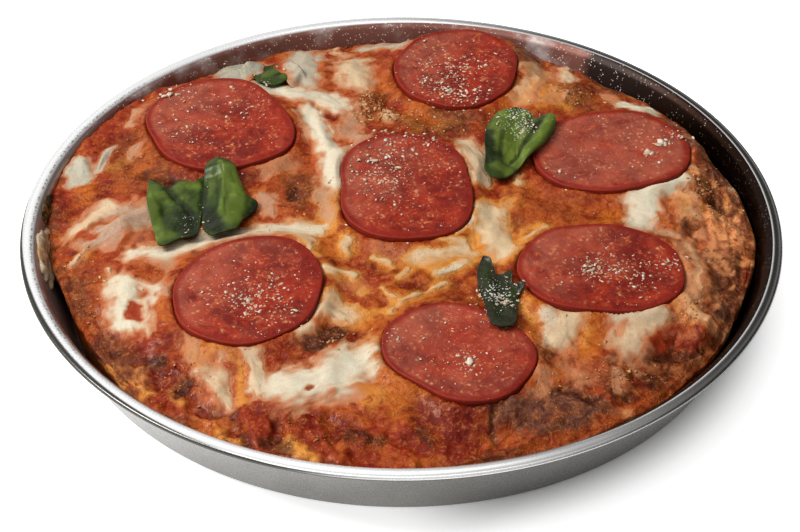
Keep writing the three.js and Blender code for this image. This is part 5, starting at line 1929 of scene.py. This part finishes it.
@dataclass(frozen=True)
class Studio:
    """The pale floor, the soft lights and the camera."""

    distance: float = 636.4
    elevation: float = 36.77
    aim_height: float = 24.72
    swing: float = -0.036
    tilt: float = -1.594
    roll: float = 0.05
    lens: float = 85.0
    glow: float = 0.68
    floor_glow: float = 0.55
    foot: float = 0.100
    shadow_side: tuple[float, float] = (0.68, -0.73)

    def floor(self) -> None:
        """Lay the floor, whose glow is darkened near the pan's foot into a painted shadow, deepest on the
        front right.
        """
        bm = bmesh.new()
        bmesh.ops.create_grid(bm, x_segments=1, y_segments=1, size=4.0)
        mesh = bpy.data.meshes.new("floor")
        bm.to_mesh(mesh)
        bm.free()
        shade = shade_material("floor")
        tone = shade.blend(shade.noise(300.0), (0.93, 0.93, 0.93), (0.95, 0.95, 0.95))
        x, y = (shade.node("SeparateXYZ", {}, {"Vector": shade.coords}, axis) for axis in "XY")
        out = shade.node("VectorMath", {"operation": "LENGTH"}, {0: shade.coords}, "Value")
        # Painted shadow: the floor's glow fades near the pan's foot, further out and darker on the front
        # right.
        aside = (x * self.shadow_side[0] + y * self.shadow_side[1]).rise(0.070, 0.106)
        outside_painted_shadow = (out - aside * 0.013).rise(self.foot - 0.002, self.foot + 0.015)
        near = shade.blend(aside, (0.50, 0.50, 0.50), (0.06, 0.06, 0.06))
        mesh.materials.append(shade.finish(
            Base_Color=tone, Roughness=0.9, Specular_IOR_Level=0.1,
            Emission_Color=shade.blend(outside_painted_shadow, near, (1.0, 1.0, 1.0)), Emission_Strength=self.floor_glow,
        ))
        floor = add_object("floor", mesh)

    def area(self, name: str, place: tuple[float, float, float], power: float, size: float) -> None:
        """Hang a soft light that points at the pan."""
        data = bpy.data.lights.new(name, "AREA")
        data.shape = "DISK"
        data.energy = power
        data.size = size
        light = add_object(name, data)
        light.location = place
        light.rotation_euler = (Vector((0, 0, 0.02)) - Vector(place)).to_track_quat("-Z", "Y").to_euler()

    def world(self) -> None:
        """Surround the pan with white that darkens low down on the right and behind."""
        world = bpy.data.worlds.new("studio")
        bpy.context.scene.world = world
        sky = Shade(world, "Generated")
        axes = {"Vector": sky.coords}
        aside, away, up = (sky.node("SeparateXYZ", {}, axes, axis) for axis in "XYZ")
        shaded = aside * 0.9 + away * 0.35 - up * 0.5
        colour = sky.blend(shaded.rise(-0.1, 0.25), (1.0, 1.0, 1.0), (0.16, 0.16, 0.16))
        glow = sky.node("Background", {}, {"Color": colour, "Strength": self.glow})
        sky.node("OutputWorld", {}, {"Surface": glow})

    def camera(self) -> None:
        """Set the camera."""
        lift = math.radians(self.elevation)
        aim = Vector((0, 0, self.aim_height))
        place = Vector((0, -self.distance * math.cos(lift), self.distance * math.sin(lift))) + aim
        ahead = (aim - place).normalized()
        right = Vector((1, 0, 0))
        up = right.cross(ahead)
        a, b, c = (math.radians(turn) for turn in (self.swing, self.tilt, self.roll))
        ahead = ahead * math.cos(a) * math.cos(b) + right * math.sin(a) * math.cos(b) + up * math.sin(b)
        side = ahead.cross(up).normalized()
        top = side.cross(ahead)
        right = side * math.cos(c) + top * math.sin(c)
        top = top * math.cos(c) - side * math.sin(c)
        data = bpy.data.cameras.new("camera")
        data.lens = self.lens
        data.sensor_width = 36.0
        data.clip_start = 0.01
        camera = add_object("camera", data)
        axes = Matrix((right, top, -ahead)).transposed().to_4x4()
        camera.matrix_world = Matrix.Translation(place * MM) @ axes
        bpy.context.scene.camera = camera

    def build(self) -> None:
        """Set up the whole studio."""
        self.floor()
        self.world()
        self.area("key", (-0.9, 0.0, 1.0), 16.0, 0.6)
        self.area("top", (-0.15, 0.1, 1.25), 4.0, 1.0)
        self.camera()
        view = bpy.context.scene.view_settings
        view.view_transform = "Standard"
        view.look = "None"
        view.gamma = 0.9
        view.exposure = 0.08


# ---- the pizza


@dataclass
class Tabletop:
    """The top of everything that crumbs can lie on."""

    topping: BakedTopping
    laid: Supports

    def heights(self, x: Array, y: Array) -> Array:
        """Give the highest surface at each place, and -1 off the food."""
        form = self.topping.form
        found = np.maximum(self.off_slices(x, y), [self.laid.height(*spot) for spot in zip(x, y)])
        for cut in form.slices:
            reach = cut.reach(x, y)
            angle = np.arctan2(y - cut.y, x - cut.x)
            piece = PepperoniSlice(cut, form)
            top = piece.surface(reach, angle)[2] + piece.thickness
            found = np.where(reach < 0.99, np.maximum(found, top), found)
        return np.where(np.hypot(x, y) < 119, found, -1)

    def off_slices(self, x: Array, y: Array) -> Array:
        """Give the height of the bare topping, and -1 where a slice lies or the food ends."""
        form = self.topping.form
        reach = form.nearest_slice(x, y)
        bare = (reach > 1.04) & (np.hypot(x, y) < form.crust_radius(np.arctan2(y, x)) - 2.6)
        return np.where(bare, self.topping.surface(x, y)[0], -1)

    def build(self) -> None:
        """Scatter the grated cheese and the browned granules."""
        parmesan = Crumbs("grated_cheese", "sauce_and_cheese", 5, self.heights)
        parmesan.lay(np.array(LARGE_CRUMBS), 0.3)
        parmesan.sprinkle(PARMESAN)
        parmesan.build(CrumbFinish("grated_cheese", (0.60, 0.53, 0.43), (0.47, 0.33, 0.22)).make())
        granules = Crumbs("browned_granules", "sauce_and_cheese", 9, self.off_slices)
        granules.sprinkle(GRANULES)
        granules.build(CrumbFinish("browned_granules", (0.52, 0.30, 0.11), (0.28, 0.10, 0.03)).make())


def main() -> None:
    """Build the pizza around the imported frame."""
    logging.basicConfig(level=logging.INFO, format="%(message)s")
    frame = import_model()
    nodes = frame["nodes"]
    Studio().build()
    SteelPan().build(SteelFinish().make())
    form = FoodForm()
    paint = FoodPaint(form, MELTS)
    DoughCrust(form, paint).build(BakedFinish("baked_crust", grain=1.2, depth=0.9, speck=0.6).make())
    topping = BakedTopping(form, paint)
    topping.build(BakedFinish("sauce_and_cheese").make())
    cheese = BakedFinish("mozzarella", grain=0.3, depth=0.2, scatter=0.15, speck=0.1).make()
    covered = Supports(["basil_back"], nodes)
    for melt in MELTS:
        MeltedCheese(melt, topping, covered if melt.drapes else None).build(cheese)
    meat = PepperoniFinish().make()
    for cut in form.slices:
        PepperoniSlice(cut, form).build(meat)
    leaf_names = [f"basil_{leaf.name}" for leaf in LEAVES]
    beds = [name for name in nodes if name.startswith(("crust", "sauce", "pepperoni", "mozzarella"))]
    bed, bare_bed = Supports(beds, nodes), Supports(["crust", "sauce_and_cheese"], nodes)
    green = BasilFinish().make()
    for leaf in LEAVES:
        BasilLeaf(leaf, bare_bed if leaf.name == "back" else bed, form).build(green)
    toppings = [name for name in nodes if name.startswith("mozzarella")]
    Tabletop(topping, Supports([*toppings, *leaf_names], nodes)).build()
    scraps = BakedFinish("baked_scraps", grain=0.8, depth=0.4).make()
    for scrap in SCRAPS:
        scrap.build(form.pan, scraps)
    forget_shells()


if __name__ == "__main__":
    main()
